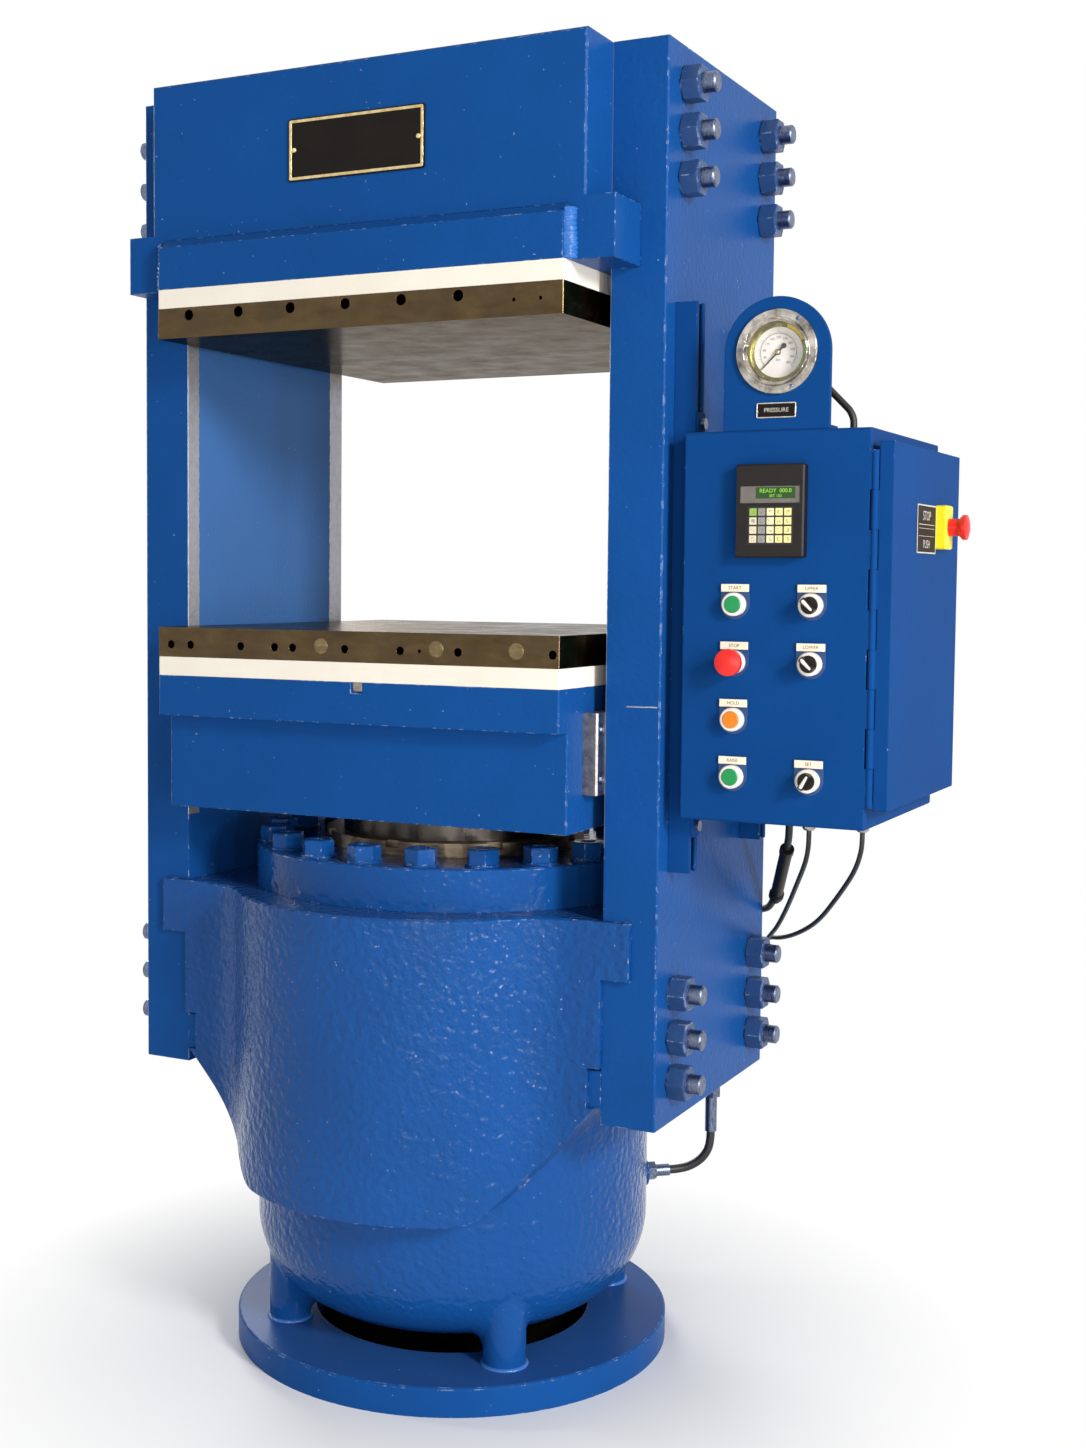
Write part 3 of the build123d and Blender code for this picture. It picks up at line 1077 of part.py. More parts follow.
case_inside = GAUGE_CASE_RADIUS - CASE_WALL
stem_end = case_back + STEM_LENGTH
with BuildPart() as gauge_case:
    with BuildSketch(gauge_plane):
        with BuildLine():
            Polyline(
                (case_inside, BRACKET_FRONT),
                (GAUGE_CASE_RADIUS, BRACKET_FRONT),
                (GAUGE_CASE_RADIUS, case_back),
                (STEM_RADIUS, case_back),
                (STEM_RADIUS, stem_end),
                (0, stem_end),
                (0, case_back - CASE_FLOOR),
                (case_inside, case_back - CASE_FLOOR),
                close=True,
            )
        make_face()
    revolve(axis=gauge_axis)
gauge_case.part.label = "gauge_case"
export_step(gauge_case.part, "parts/gauge_case.step")

bezel_face = BRACKET_FRONT - BEZEL_THICKNESS
bezel_front = bezel_face - BEZEL_RING_HEIGHT
lens_front = BRACKET_FRONT - LENS_THICKNESS
with BuildPart() as gauge_bezel:
    with BuildSketch(gauge_plane):
        with BuildLine():
            Polyline(
                (LENS_RADIUS + RUN_GAP, BRACKET_FRONT),
                (BEZEL_RADIUS, BRACKET_FRONT),
                (BEZEL_RADIUS, bezel_face + BEZEL_EDGE),
                (BEZEL_RADIUS - BEZEL_EDGE, bezel_face),
                (BEZEL_RING_RADIUS, bezel_face),
                (BEZEL_RING_RADIUS - BEZEL_EDGE, bezel_front),
                (BEZEL_RING_RADIUS - 2 * BEZEL_EDGE, bezel_front),
                (WINDOW_RADIUS, lens_front),
                (LENS_RADIUS + RUN_GAP, lens_front),
                close=True,
            )
        make_face()
    revolve(axis=gauge_axis)
gauge_bezel.part.label = "gauge_bezel"
export_step(gauge_bezel.part, "parts/gauge_bezel.step")

with BuildPart() as gauge_lens:
    with BuildSketch(Plane.XZ.offset(-BRACKET_FRONT)):
        with Locations((GAUGE_X, GAUGE_Z)):
            Circle(LENS_RADIUS)
    extrude(amount=LENS_THICKNESS)
gauge_lens.part.label = "gauge_lens"
export_step(gauge_lens.part, "parts/gauge_lens.step")

with BuildPart() as gauge_dial:
    with BuildSketch(Plane.XZ.offset(-dial_back)):
        with Locations((GAUGE_X, GAUGE_Z)):
            Circle(case_inside - RUN_GAP)
            Circle(NEEDLE_SHAFT + DIAL_SHAFT_GAP, mode=Mode.SUBTRACT)
    extrude(amount=DIAL_THICKNESS)
gauge_dial.part.label = "gauge_dial"
export_step(gauge_dial.part, "parts/gauge_dial.step")

needle_plane = front_plane(GAUGE_X, dial_face - NEEDLE_LIFT, GAUGE_Z, NEEDLE_REST)
with BuildPart() as gauge_needle:
    with BuildSketch(needle_plane):
        with BuildLine():
            Polyline(
                (-NEEDLE_TAIL, -NEEDLE_WIDTH / 2),
                (NEEDLE_LENGTH, -NEEDLE_TIP / 2),
                (NEEDLE_LENGTH, NEEDLE_TIP / 2),
                (-NEEDLE_TAIL, NEEDLE_WIDTH / 2),
                close=True,
            )
        make_face()
        Circle(NEEDLE_HUB)
        with Locations((-NEEDLE_TAIL, 0)):
            Circle(NEEDLE_PAD)
    extrude(amount=NEEDLE_THICKNESS)
    with BuildSketch(needle_plane):
        Circle(NEEDLE_SHAFT)
    extrude(amount=-NEEDLE_LIFT - DIAL_THICKNESS - STEM_LENGTH)
gauge_needle.part.label = "gauge_needle"
export_step(gauge_needle.part, "parts/gauge_needle.step")

# Operator terminal: moulded frame with its body behind the wall, window and membrane pads
TERMINAL_CORNER = 4.0
TERMINAL_EDGE = 2.5
TERMINAL_BODY_DEPTH = 34.0
DISPLAY_WIDTH = 94.0
DISPLAY_HEIGHT = 26.0
DISPLAY_Z = 1508.0
DISPLAY_DEPTH = 3.0
KEYPAD_WIDTH = 72.0
KEYPAD_HEIGHT = 58.0
KEYPAD_Z = 1461.5
KEYPAD_DEPTH = 1.5
KEYPAD_SHIFT = 1.5
KEY_COLUMNS = 5
KEY_ROWS = 4
KEY_PITCH = 13.6
KEY_SIDE = 11.0
KEY_LIFT = 0.8
KEY_CORNER = 1.2
terminal_front = CABINET_FRONT - TERMINAL_PROUD
with BuildPart() as terminal_housing:
    with BuildSketch(Plane.XZ.offset(-CABINET_FRONT)):
        with Locations((TERMINAL_X, TERMINAL_Z)):
            RectangleRounded(TERMINAL_WIDTH, TERMINAL_HEIGHT, TERMINAL_CORNER)
    extrude(amount=TERMINAL_PROUD)
    chamfer(faces().sort_by(Axis.Y)[0].edges(), length=TERMINAL_EDGE)
    with BuildSketch(Plane.XZ.offset(-CABINET_FRONT)):
        with Locations((TERMINAL_X, TERMINAL_Z)):
            Rectangle(
                TERMINAL_WIDTH - 2 * TERMINAL_RIM - 2 * CUTOUT_GAP,
                TERMINAL_HEIGHT - 2 * TERMINAL_RIM - 2 * CUTOUT_GAP,
            )
    extrude(amount=-TERMINAL_BODY_DEPTH)
    with BuildSketch(Plane.XZ.offset(-terminal_front)):
        with Locations((TERMINAL_X, DISPLAY_Z)):
            Rectangle(DISPLAY_WIDTH, DISPLAY_HEIGHT)
    extrude(amount=-DISPLAY_DEPTH, mode=Mode.SUBTRACT)
    with BuildSketch(Plane.XZ.offset(-terminal_front)):
        with Locations((TERMINAL_X + KEYPAD_SHIFT, KEYPAD_Z)):
            Rectangle(KEYPAD_WIDTH, KEYPAD_HEIGHT)
    extrude(amount=-KEYPAD_DEPTH, mode=Mode.SUBTRACT)
terminal_housing.part.label = "terminal_housing"
export_step(terminal_housing.part, "parts/terminal_housing.step")

with BuildPart() as terminal_display:
    with BuildSketch(Plane.XZ.offset(-terminal_front - DISPLAY_DEPTH)):
        with Locations((TERMINAL_X, DISPLAY_Z)):
            Rectangle(DISPLAY_WIDTH - 2 * RUN_GAP, DISPLAY_HEIGHT - 2 * RUN_GAP)
    extrude(amount=DISPLAY_DEPTH / 2)
terminal_display.part.label = "terminal_display"
export_step(terminal_display.part, "parts/terminal_display.step")

with BuildPart() as terminal_keys:
    with BuildSketch(Plane.XZ.offset(-terminal_front - KEYPAD_DEPTH)):
        with Locations((TERMINAL_X + KEYPAD_SHIFT, KEYPAD_Z)):
            Rectangle(KEYPAD_WIDTH - 2 * RUN_GAP, KEYPAD_HEIGHT - 2 * RUN_GAP)
    extrude(amount=KEYPAD_DEPTH / 2)
    with BuildSketch(Plane.XZ.offset(-terminal_front - KEYPAD_DEPTH / 2)):
        with Locations((TERMINAL_X + KEYPAD_SHIFT, KEYPAD_Z)):
            with GridLocations(KEY_PITCH, KEY_PITCH, KEY_COLUMNS, KEY_ROWS):
                RectangleRounded(KEY_SIDE, KEY_SIDE, KEY_CORNER)
    extrude(amount=KEY_LIFT)
terminal_keys.part.label = "terminal_keys"
export_step(terminal_keys.part, "parts/terminal_keys.step")

# Legend plates: one under each operator's bezel, with a raised label field above it
LEGEND_WIDTH = 46.0
LEGEND_THICKNESS = 1.5
LEGEND_TOP = 31.5  # above the operator's axis
LEGEND_FIELD = 13.0
with BuildPart() as legend_plates:
    with BuildSketch(Plane.XZ.offset(-CABINET_FRONT)):
        for spot in OPERATOR_SPOTS:
            with Locations(spot):
                Circle(LEGEND_WIDTH / 2)
                Rectangle(LEGEND_WIDTH, LEGEND_TOP, align=(Align.CENTER, Align.MIN))
                Circle(OPERATOR_HOLE, mode=Mode.SUBTRACT)
    extrude(amount=LEGEND_THICKNESS)
    with BuildSketch(Plane.XZ.offset(-CABINET_FRONT + LEGEND_THICKNESS)):
        for across, up in OPERATOR_SPOTS:
            with Locations((across, up + LEGEND_TOP - LEGEND_FIELD / 2)):
                Rectangle(LEGEND_WIDTH, LEGEND_FIELD)
    extrude(amount=LEGEND_THICKNESS)
legend_plates.part.label = "legend_plates"
export_step(legend_plates.part, "parts/legend_plates.step")

# Operator bodies: chromed bezel, threaded barrel through the wall, and contact block
OPERATOR_BEZEL_RADIUS = 18.0
BEZEL_PROUD = 15.0
BEZEL_CHAMFER = 2.0
CAP_RADIUS = 13.0
BEZEL_BORE_FLOOR = 2.5  # of the bezel's bore over the legend plate
BARREL_LENGTH = 16.0
BLOCK_WIDTH = 30.0
BLOCK_HEIGHT = 40.0
BLOCK_DEPTH = 36.0
legend_face = CABINET_FRONT - LEGEND_THICKNESS
operator_front = CABINET_FRONT - BEZEL_PROUD
bore_floor = legend_face - BEZEL_BORE_FLOOR
barrel_end = CABINET_FRONT + CABINET_WALL + BARREL_LENGTH
with BuildPart() as operator_bodies:
    with BuildSketch(Plane.XZ.offset(-legend_face)):
        with Locations(*OPERATOR_SPOTS):
            Circle(OPERATOR_BEZEL_RADIUS)
    extrude(amount=legend_face - operator_front)
    bezel_rims = edges().filter_by(GeomType.CIRCLE).group_by(Axis.Y)[0]
    chamfer(bezel_rims, length=BEZEL_CHAMFER)
    with BuildSketch(Plane.XZ.offset(-operator_front)):
        with Locations(*OPERATOR_SPOTS):
            Circle(CAP_RADIUS + RUN_GAP)
    extrude(amount=operator_front - bore_floor, mode=Mode.SUBTRACT)
    with BuildSketch(Plane.XZ.offset(-legend_face)):
        with Locations(*OPERATOR_SPOTS):
            Circle(OPERATOR_HOLE - HOLE_GAP / 4)
    extrude(amount=legend_face - barrel_end)
    with BuildSketch(Plane.XZ.offset(-barrel_end)):
        with Locations(*OPERATOR_SPOTS):
            Rectangle(BLOCK_WIDTH, BLOCK_HEIGHT)
    extrude(amount=-BLOCK_DEPTH)
operator_bodies.part.label = "operator_bodies"
export_step(operator_bodies.part, "parts/operator_bodies.step")

BUTTON_TRAVEL = 4.5
CAP_PROUD = 1.5  # of a flush cap beyond its bezel
CAP_EDGE = 1.0
cap_back = bore_floor - BUTTON_TRAVEL - RUN_GAP


def push_button(spot):
    """A flush button cap at its rest place in the bezel, for a place on the cabinet's front."""
    with BuildPart() as cap:
        with BuildSketch(Plane.XZ.offset(-cap_back)):
            with Locations(spot):
                Circle(CAP_RADIUS)
        extrude(amount=cap_back - operator_front + CAP_PROUD)
        chamfer(edges().filter_by(GeomType.CIRCLE).sort_by(Axis.Y)[0], length=CAP_EDGE)
    return cap


start_button = push_button(START_SPOT)
start_button.part.label = "start_button"
export_step(start_button.part, "parts/start_button.step")

hold_button = push_button(HOLD_SPOT)
hold_button.part.label = "hold_button"
export_step(hold_button.part, "parts/hold_button.step")

raise_button = push_button(RAISE_SPOT)
raise_button.part.label = "raise_button"
export_step(raise_button.part, "parts/raise_button.step")

# Stop mushroom: wide domed head on a stem that slides in the bezel
MUSHROOM_RADIUS = 20.5
MUSHROOM_PROUD = 38.0
MUSHROOM_HEAD = 14.0
MUSHROOM_DOME = 4.0
mushroom_front = CABINET_FRONT - MUSHROOM_PROUD
mushroom_back = mushroom_front + MUSHROOM_HEAD
with BuildPart() as stop_mushroom:
    with BuildSketch(Plane(origin=(STOP_SPOT[0], 0, STOP_SPOT[1]))):
        with BuildLine():
            Polyline(
                (0, mushroom_front),
                (0, cap_back),
                (CAP_RADIUS, cap_back),
                (CAP_RADIUS, mushroom_back),
                (MUSHROOM_RADIUS, mushroom_back),
                (MUSHROOM_RADIUS, mushroom_front + MUSHROOM_DOME),
            )
            TangentArc(
                (0, mushroom_front), (MUSHROOM_RADIUS, mushroom_front + MUSHROOM_DOME), tangent=(1, 0)
            )
        make_face()
    revolve(axis=Axis((STOP_SPOT[0], 0, STOP_SPOT[1]), (0, 1, 0)))
stop_mushroom.part.label = "stop_mushroom"
export_step(stop_mushroom.part, "parts/stop_mushroom.step")

# Selectors and setting knob: a disc in the bezel with a grip across it
GRIP_WIDTH = 9.0
GRIP_PROUD = 12.0
GRIP_EDGE = 1.5
SELECTOR_REST = 135.0  # degrees from +X in the view from the front
SETTING_REST = 240.0
disc_front = operator_front - CAP_PROUD


def turn_knob(spot, rest):
    """A knob in its bezel, for a place on the cabinet's front and the way its grip points."""
    with BuildPart() as knob:
        with BuildSketch(Plane.XZ.offset(-bore_floor + RUN_GAP)):
            with Locations(spot):
                Circle(CAP_RADIUS)
        extrude(amount=bore_floor - RUN_GAP - disc_front)
        with BuildSketch(front_plane(spot[0], disc_front, spot[1], rest)):
            Rectangle(2 * CAP_RADIUS, GRIP_WIDTH)
            Circle(CAP_RADIUS, mode=Mode.INTERSECT)
        extrude(amount=GRIP_PROUD)
        chamfer(faces().sort_by(Axis.Y)[0].edges(), length=GRIP_EDGE)
    return knob


upper_selector = turn_knob(UPPER_SELECTOR_SPOT, SELECTOR_REST)
upper_selector.part.label = "upper_selector"
export_step(upper_selector.part, "parts/upper_selector.step")

lower_selector = turn_knob(LOWER_SELECTOR_SPOT, SELECTOR_REST)
lower_selector.part.label = "lower_selector"
export_step(lower_selector.part, "parts/lower_selector.step")

setting_knob = turn_knob(SETTING_SPOT, SETTING_REST)
setting_knob.part.label = "setting_knob"
export_step(setting_knob.part, "parts/setting_knob.step")

# Cable glands: hexagon and dome nut outside, thread through the wall, locknut inside
GLAND_HEX = 24.0
GLAND_HEX_HEIGHT = 8.0
GLAND_DOME_RADIUS = 10.5
GLAND_DOME_HEIGHT = 14.0
GLAND_DOME_EDGE = 3.0
LOCKNUT_HEX = 24.0
LOCKNUT_HEIGHT = 5.0
hex_bottom = CABINET_BOTTOM - GLAND_HEX_HEIGHT
with BuildPart() as cable_glands:
    with BuildSketch(Plane.XY.offset(hex_bottom)):
        with Locations(*CABLE_GLANDS):
            Circle(GLAND_DOME_RADIUS)
    extrude(amount=-GLAND_DOME_HEIGHT)
    chamfer(edges().filter_by(GeomType.CIRCLE).group_by(Axis.Z)[0], length=GLAND_DOME_EDGE)
    with BuildSketch(Plane.XY.offset(CABINET_BOTTOM)):
        with Locations(*CABLE_GLANDS):
            RegularPolygon(GLAND_HEX / 2, side_count=6, major_radius=False)
    extrude(amount=-GLAND_HEX_HEIGHT)
    with BuildSketch(Plane.XY.offset(CABINET_BOTTOM)):
        with Locations(*CABLE_GLANDS):
            Circle(GLAND_THREAD)
    extrude(amount=CABINET_WALL)
    with BuildSketch(Plane.XY.offset(CABINET_BOTTOM + CABINET_WALL)):
        with Locations(*CABLE_GLANDS):
            RegularPolygon(LOCKNUT_HEX / 2, side_count=6, major_radius=False)
    extrude(amount=LOCKNUT_HEIGHT)
    with BuildSketch(Plane.XY.offset(CABINET_TOP)):
        with Locations(HOSE_GLAND):
            RegularPolygon(GLAND_HEX / 2, side_count=6, major_radius=False)
    extrude(amount=GLAND_HEX_HEIGHT)
    with BuildSketch(Plane.XY.offset(CABINET_TOP)):
        with Locations(HOSE_GLAND):
            Circle(GLAND_THREAD)
    extrude(amount=-CABINET_WALL)
    with BuildSketch(Plane.XY.offset(CABINET_TOP - CABINET_WALL)):
        with Locations(HOSE_GLAND):
            RegularPolygon(LOCKNUT_HEX / 2, side_count=6, major_radius=False)
    extrude(amount=-LOCKNUT_HEIGHT)
cable_glands.part.label = "cable_glands"
export_step(cable_glands.part, "parts/cable_glands.step")

# Rear junction box on the right plate's rear face, where the three cables end
JUNCTION_WIDTH = 36.0
JUNCTION_HEIGHT = 100.0
JUNCTION_DEPTH = 60.0
JUNCTION_X = 427.0
JUNCTION_Z = 650.0
JUNCTION_CORNER = 4.0
JUNCTION_LID = 6.0
JUNCTION_GROOVE = 1.0
plate_rear = -PLATE_FRONT
with BuildPart() as rear_junction_box:
    for start, length, margin in (
        (0.0, JUNCTION_DEPTH - JUNCTION_LID - JUNCTION_GROOVE, 0.0),
        (JUNCTION_DEPTH - JUNCTION_LID - JUNCTION_GROOVE, JUNCTION_GROOVE, JUNCTION_GROOVE),
        (JUNCTION_DEPTH - JUNCTION_LID, JUNCTION_LID, 0.0),
    ):
        with BuildSketch(Plane.XZ.offset(-plate_rear - start)):
            with Locations((JUNCTION_X, JUNCTION_Z)):
                RectangleRounded(
                    JUNCTION_WIDTH - 2 * margin, JUNCTION_HEIGHT - 2 * margin, JUNCTION_CORNER - margin
                )
        extrude(amount=-length)
rear_junction_box.part.label = "rear_junction_box"
export_step(rear_junction_box.part, "parts/rear_junction_box.step")

# Cables and hoses: tubes of straight runs and tangent arcs through points chosen by hand
CORD_ARC_SHARE = 0.45  # of the shorter run that an arc may take
SUPPLY_CABLE_RADIUS = 6.5
SIGNAL_CABLE_RADIUS = 4.0
GAUGE_HOSE_RADIUS = 5.5
OIL_HOSE_RADIUS = 8.0
SUPPLY_ROUTE = [
    (605, 80, 984), (605, 80, 958), (598, 97, 926), (522, 256, 786),
    (484, 286, 772), (445, 293, 754), (428, 294, 724), (428, 294, 700),
]
VALVE_ROUTE = [
    (704, -130, 984), (704, -130, 966), (701, -124, 951), (694, -110, 933), (680, -83, 911), (657, -39, 880),
    (631, 15, 847), (599, 85, 811), (560, 165, 769), (536, 213, 748), (513, 256, 728), (491, 279, 707),
    (469, 287, 688), (445, 287, 688),
]
SWITCH_ROUTE = [
    (784, -108, 984), (784, -108, 966), (780, -102, 948), (770, -88, 925), (753, -65, 900), (715, -15, 855),
    (663, 65, 802), (603, 150, 762), (545, 230, 734), (507, 277, 725), (489, 294, 708), (468, 303, 690),
    (445, 303, 690),
]
GAUGE_ROUTE = [
    (679, -185, 1723), (679, -162, 1723), (687, -142, 1714), (704, -130, 1697), (725, -128, 1675),
    (744, -129, 1656), (757, -130, 1643), (763, -130, 1630), (763, -130, 1614),
]
OIL_ROUTE = [
    (390, 305, 338), (390, 305, 314), (381, 301, 290), (362, 295, 272), (339.3, 284.7, 262),
    (320.2, 268.7, 262),
]


def cord_radii(route):
    """The largest tangent arcs that a route leaves room for, one for each of its corners."""
    points = [Vector(*spot) for spot in route]
    radii = []
    for before, corner, after in zip(points, points[1:], points[2:]):
        run_in = corner - before
        run_out = after - corner
        half_turn = radians(run_in.get_angle(run_out) / 2)
        radii.append(CORD_ARC_SHARE * min(run_in.length, run_out.length) / tan(half_turn))
    return radii


def cord(route, radius):
    """A plain tube of one radius along a route."""
    radii = cord_radii(route)
    with BuildPart() as tube:
        with BuildLine() as path:
            FilletPolyline(*route, radius=radii)
        with BuildSketch(Plane(origin=path.line @ 0, z_dir=path.line % 0)):
            Circle(radius)
        sweep(path=path.line)
    share_of_tube = tube.part.volume / (pi * radius**2 * path.wires()[0].length)
    print("arc radii", [round(value) for value in radii], "volume share", round(share_of_tube, 4))
    return tube


supply_cable = cord(SUPPLY_ROUTE, SUPPLY_CABLE_RADIUS)
supply_cable.part.label = "supply_cable"
export_step(supply_cable.part, "parts/supply_cable.step")

valve_cable = cord(VALVE_ROUTE, SIGNAL_CABLE_RADIUS)
valve_cable.part.label = "valve_cable"
export_step(valve_cable.part, "parts/valve_cable.step")

switch_cable = cord(SWITCH_ROUTE, SIGNAL_CABLE_RADIUS)
switch_cable.part.label = "switch_cable"
export_step(switch_cable.part, "parts/switch_cable.step")

gauge_hose = cord(GAUGE_ROUTE, GAUGE_HOSE_RADIUS)
gauge_hose.part.label = "gauge_hose"
export_step(gauge_hose.part, "parts/gauge_hose.step")

oil_hose = cord(OIL_ROUTE, OIL_HOSE_RADIUS)
oil_hose.part.label = "oil_hose"
export_step(oil_hose.part, "parts/oil_hose.step")

# Cable sleeve: stiff boot with end collars round the supply cable's straight run
SLEEVE_START = 17.0  # after the run's first corner
SLEEVE_STOP = 27.0  # before the run's last corner
SLEEVE_RADIUS = 11.0
SLEEVE_CLAMP_RADIUS = 12.5
SLEEVE_CLAMP_LENGTH = 12.0
SLEEVE_COLLAR_RADIUS = 13.5
SLEEVE_COLLAR_LENGTH = 10.0
SLEEVE_TAIL_RADIUS = 9.5
SLEEVE_TAIL_LENGTH = 12.0
run_start = Vector(*SUPPLY_ROUTE[2])
run_end = Vector(*SUPPLY_ROUTE[3])
run_way = (run_end - run_start).normalized()
sleeve_length = (run_end - run_start).length - SLEEVE_START - SLEEVE_STOP
sleeve_plane = Plane(origin=run_start + run_way * SLEEVE_START, z_dir=run_way)
sleeve_bands = (
    (0.0, SLEEVE_CLAMP_LENGTH, SLEEVE_CLAMP_RADIUS),
    (SLEEVE_CLAMP_LENGTH, sleeve_length - SLEEVE_TAIL_LENGTH, SLEEVE_RADIUS),
    (sleeve_length - SLEEVE_TAIL_LENGTH - SLEEVE_COLLAR_LENGTH, sleeve_length - SLEEVE_TAIL_LENGTH,
     SLEEVE_COLLAR_RADIUS),
    (sleeve_length - SLEEVE_TAIL_LENGTH, sleeve_length, SLEEVE_TAIL_RADIUS),
)
with BuildPart() as cable_sleeve:
    for band_start, band_end, band_radius in sleeve_bands:
        with BuildSketch(sleeve_plane.offset(band_start)):
            Circle(band_radius)
        extrude(amount=band_end - band_start)
    with BuildSketch(sleeve_plane):
        Circle(SUPPLY_CABLE_RADIUS + RUN_GAP)
    extrude(amount=sleeve_length, mode=Mode.SUBTRACT)
cable_sleeve.part.label = "cable_sleeve"
export_step(cable_sleeve.part, "parts/cable_sleeve.step")

# Oil inlet: manifold block on the casting's rear wing, with the hose's two end fittings
OIL_BLOCK_WIDTH = 48.0
OIL_BLOCK_DEPTH = 74.0
OIL_BLOCK_HEIGHT = 62.0
OIL_BLOCK_BOTTOM = 510.0
OIL_BLOCK_GAP = 1.5  # between the block and the side plate
OIL_BLOCK_EDGE = 3.0
OIL_FITTING_SPOT = (390.0, 305.0)
FITTING_SLEEVE_RADIUS = 13.0
FITTING_HEX = 30.0
FITTING_CRIMP_RADIUS = 11.0
FITTING_SLEEVE_LENGTH = 80.0
FITTING_HEX_LENGTH = 25.0
FITTING_CRIMP_LENGTH = 67.0
PORT_HEX_LENGTH = 18.0
PORT_CRIMP_LENGTH = 28.0
wing_rear = -WING_FRONT
with BuildPart() as oil_block:
    with BuildSketch(Plane.XY.offset(OIL_BLOCK_BOTTOM)):
        with Locations((PLATE_IN - OIL_BLOCK_GAP, wing_rear)):
            Rectangle(OIL_BLOCK_WIDTH, OIL_BLOCK_DEPTH, align=(Align.MAX, Align.MIN))
    extrude(amount=OIL_BLOCK_HEIGHT)
    chamfer(faces().sort_by(Axis.Y)[-1].edges(), length=OIL_BLOCK_EDGE)
oil_block.part.label = "oil_block"
export_step(oil_block.part, "parts/oil_block.step")

hex_top = OIL_BLOCK_BOTTOM - FITTING_SLEEVE_LENGTH
crimp_top = hex_top - FITTING_HEX_LENGTH
port_plane = Plane((0, 0, PORT_HEIGHT), x_dir=(0, 0, 1), z_dir=Vector(1, 0, 0).rotate(Axis.Z, PORT_TURN))
with BuildPart() as oil_fittings:
    with BuildSketch(Plane.XY.offset(OIL_BLOCK_BOTTOM)):
        with Locations(OIL_FITTING_SPOT):
            Circle(FITTING_SLEEVE_RADIUS)
    extrude(amount=-FITTING_SLEEVE_LENGTH)
    with BuildSketch(Plane.XY.offset(hex_top)):
        with Locations(OIL_FITTING_SPOT):
            RegularPolygon(FITTING_HEX / 2, side_count=6, major_radius=False)
    extrude(amount=-FITTING_HEX_LENGTH)
    with BuildSketch(Plane.XY.offset(crimp_top)):
        with Locations(OIL_FITTING_SPOT):
            Circle(FITTING_CRIMP_RADIUS)
    extrude(amount=-FITTING_CRIMP_LENGTH)
    with BuildSketch(port_plane.offset(PORT_BOSS_REACH)):
        RegularPolygon(FITTING_HEX / 2, side_count=6, major_radius=False)
    extrude(amount=PORT_HEX_LENGTH)
    with BuildSketch(port_plane.offset(PORT_BOSS_REACH + PORT_HEX_LENGTH)):
        Circle(FITTING_CRIMP_RADIUS)
    extrude(amount=PORT_CRIMP_LENGTH)
oil_fittings.part.label = "oil_fittings"
export_step(oil_fittings.part, "parts/oil_fittings.step")
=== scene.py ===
# %% [markdown]
# # A blue hydraulic press, dressed from its solids
# The solids give every shape and place. This lesson gives them their paint, metal, plastic and
# rubber, adds the small things that are too fine for solids, and lights them for one picture.

# %% Load the solids and keep their box
from math import cos, pi, radians, sin
import bmesh
import bpy
import numpy as np
from mathutils import Matrix, Vector


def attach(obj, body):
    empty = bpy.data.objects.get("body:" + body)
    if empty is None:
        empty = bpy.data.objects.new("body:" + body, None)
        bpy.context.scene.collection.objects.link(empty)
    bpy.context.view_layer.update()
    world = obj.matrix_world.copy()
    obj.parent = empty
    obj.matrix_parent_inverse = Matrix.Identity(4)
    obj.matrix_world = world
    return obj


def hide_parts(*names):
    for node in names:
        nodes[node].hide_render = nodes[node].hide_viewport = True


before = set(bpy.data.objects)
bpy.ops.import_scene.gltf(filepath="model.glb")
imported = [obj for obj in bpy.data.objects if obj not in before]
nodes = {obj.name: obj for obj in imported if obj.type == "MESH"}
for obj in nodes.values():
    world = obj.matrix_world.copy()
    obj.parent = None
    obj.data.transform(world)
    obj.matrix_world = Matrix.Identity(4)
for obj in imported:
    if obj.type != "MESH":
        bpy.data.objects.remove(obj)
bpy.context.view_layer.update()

scene = bpy.context.scene
scene.view_settings.view_transform = "Standard"

# %% [markdown]
# ## Camera
# The picture was taken from the right of the press, a little above its middle. A camera could be aimed
# by eye, but the plates' long straight edges fix it: their vanishing points give the turn, the tilt and
# the focal length, so the camera stands at worked out numbers and its frame is shifted a little.

# %% Camera
PICTURE = (1086, 1448)  # pixels
FOCAL = 1839.8  # pixels
MIDDLE = (474.8, 691.8)  # the pixel that the camera's axis meets
YAW, TILT, ROLL = 0.479, 0.061, 0.008  # radians
CAMERA_PLACE = (1.56845, -2.94858, 1.37682)  # metres
SENSOR_MM = 36.0
ahead = Vector((-sin(YAW) * cos(TILT), cos(YAW) * cos(TILT), -sin(TILT)))
across = Vector((cos(YAW), sin(YAW), 0.0))
upward = across.cross(ahead)
right = across * cos(ROLL) + upward * sin(ROLL)
top = upward * cos(ROLL) - across * sin(ROLL)
lens = bpy.data.cameras.new("camera")
lens.sensor_width = SENSOR_MM
lens.lens = SENSOR_MM * FOCAL / PICTURE[1]
lens.shift_x = (PICTURE[0] / 2 - MIDDLE[0]) / PICTURE[1]
lens.shift_y = (MIDDLE[1] - PICTURE[1] / 2) / PICTURE[1]
camera = bpy.data.objects.new("camera", lens)
camera.matrix_world = Matrix.Translation(CAMERA_PLACE) @ Matrix(
    (right, top, -ahead)).transposed().to_4x4()
scene.collection.objects.link(camera)
scene.camera = camera
print("lens mm:", round(lens.lens, 2), "shift:", round(lens.shift_x, 4), round(lens.shift_y, 4))

# %% [markdown]
# ## Helpers for finishes
# A finish is a small net of nodes. One function adds a node and sets or links its sockets, one turns a
# written colour into the linear light that a shader needs, and one turns millimetres into a pattern's
# scale, so that every grain and speck has a real size.

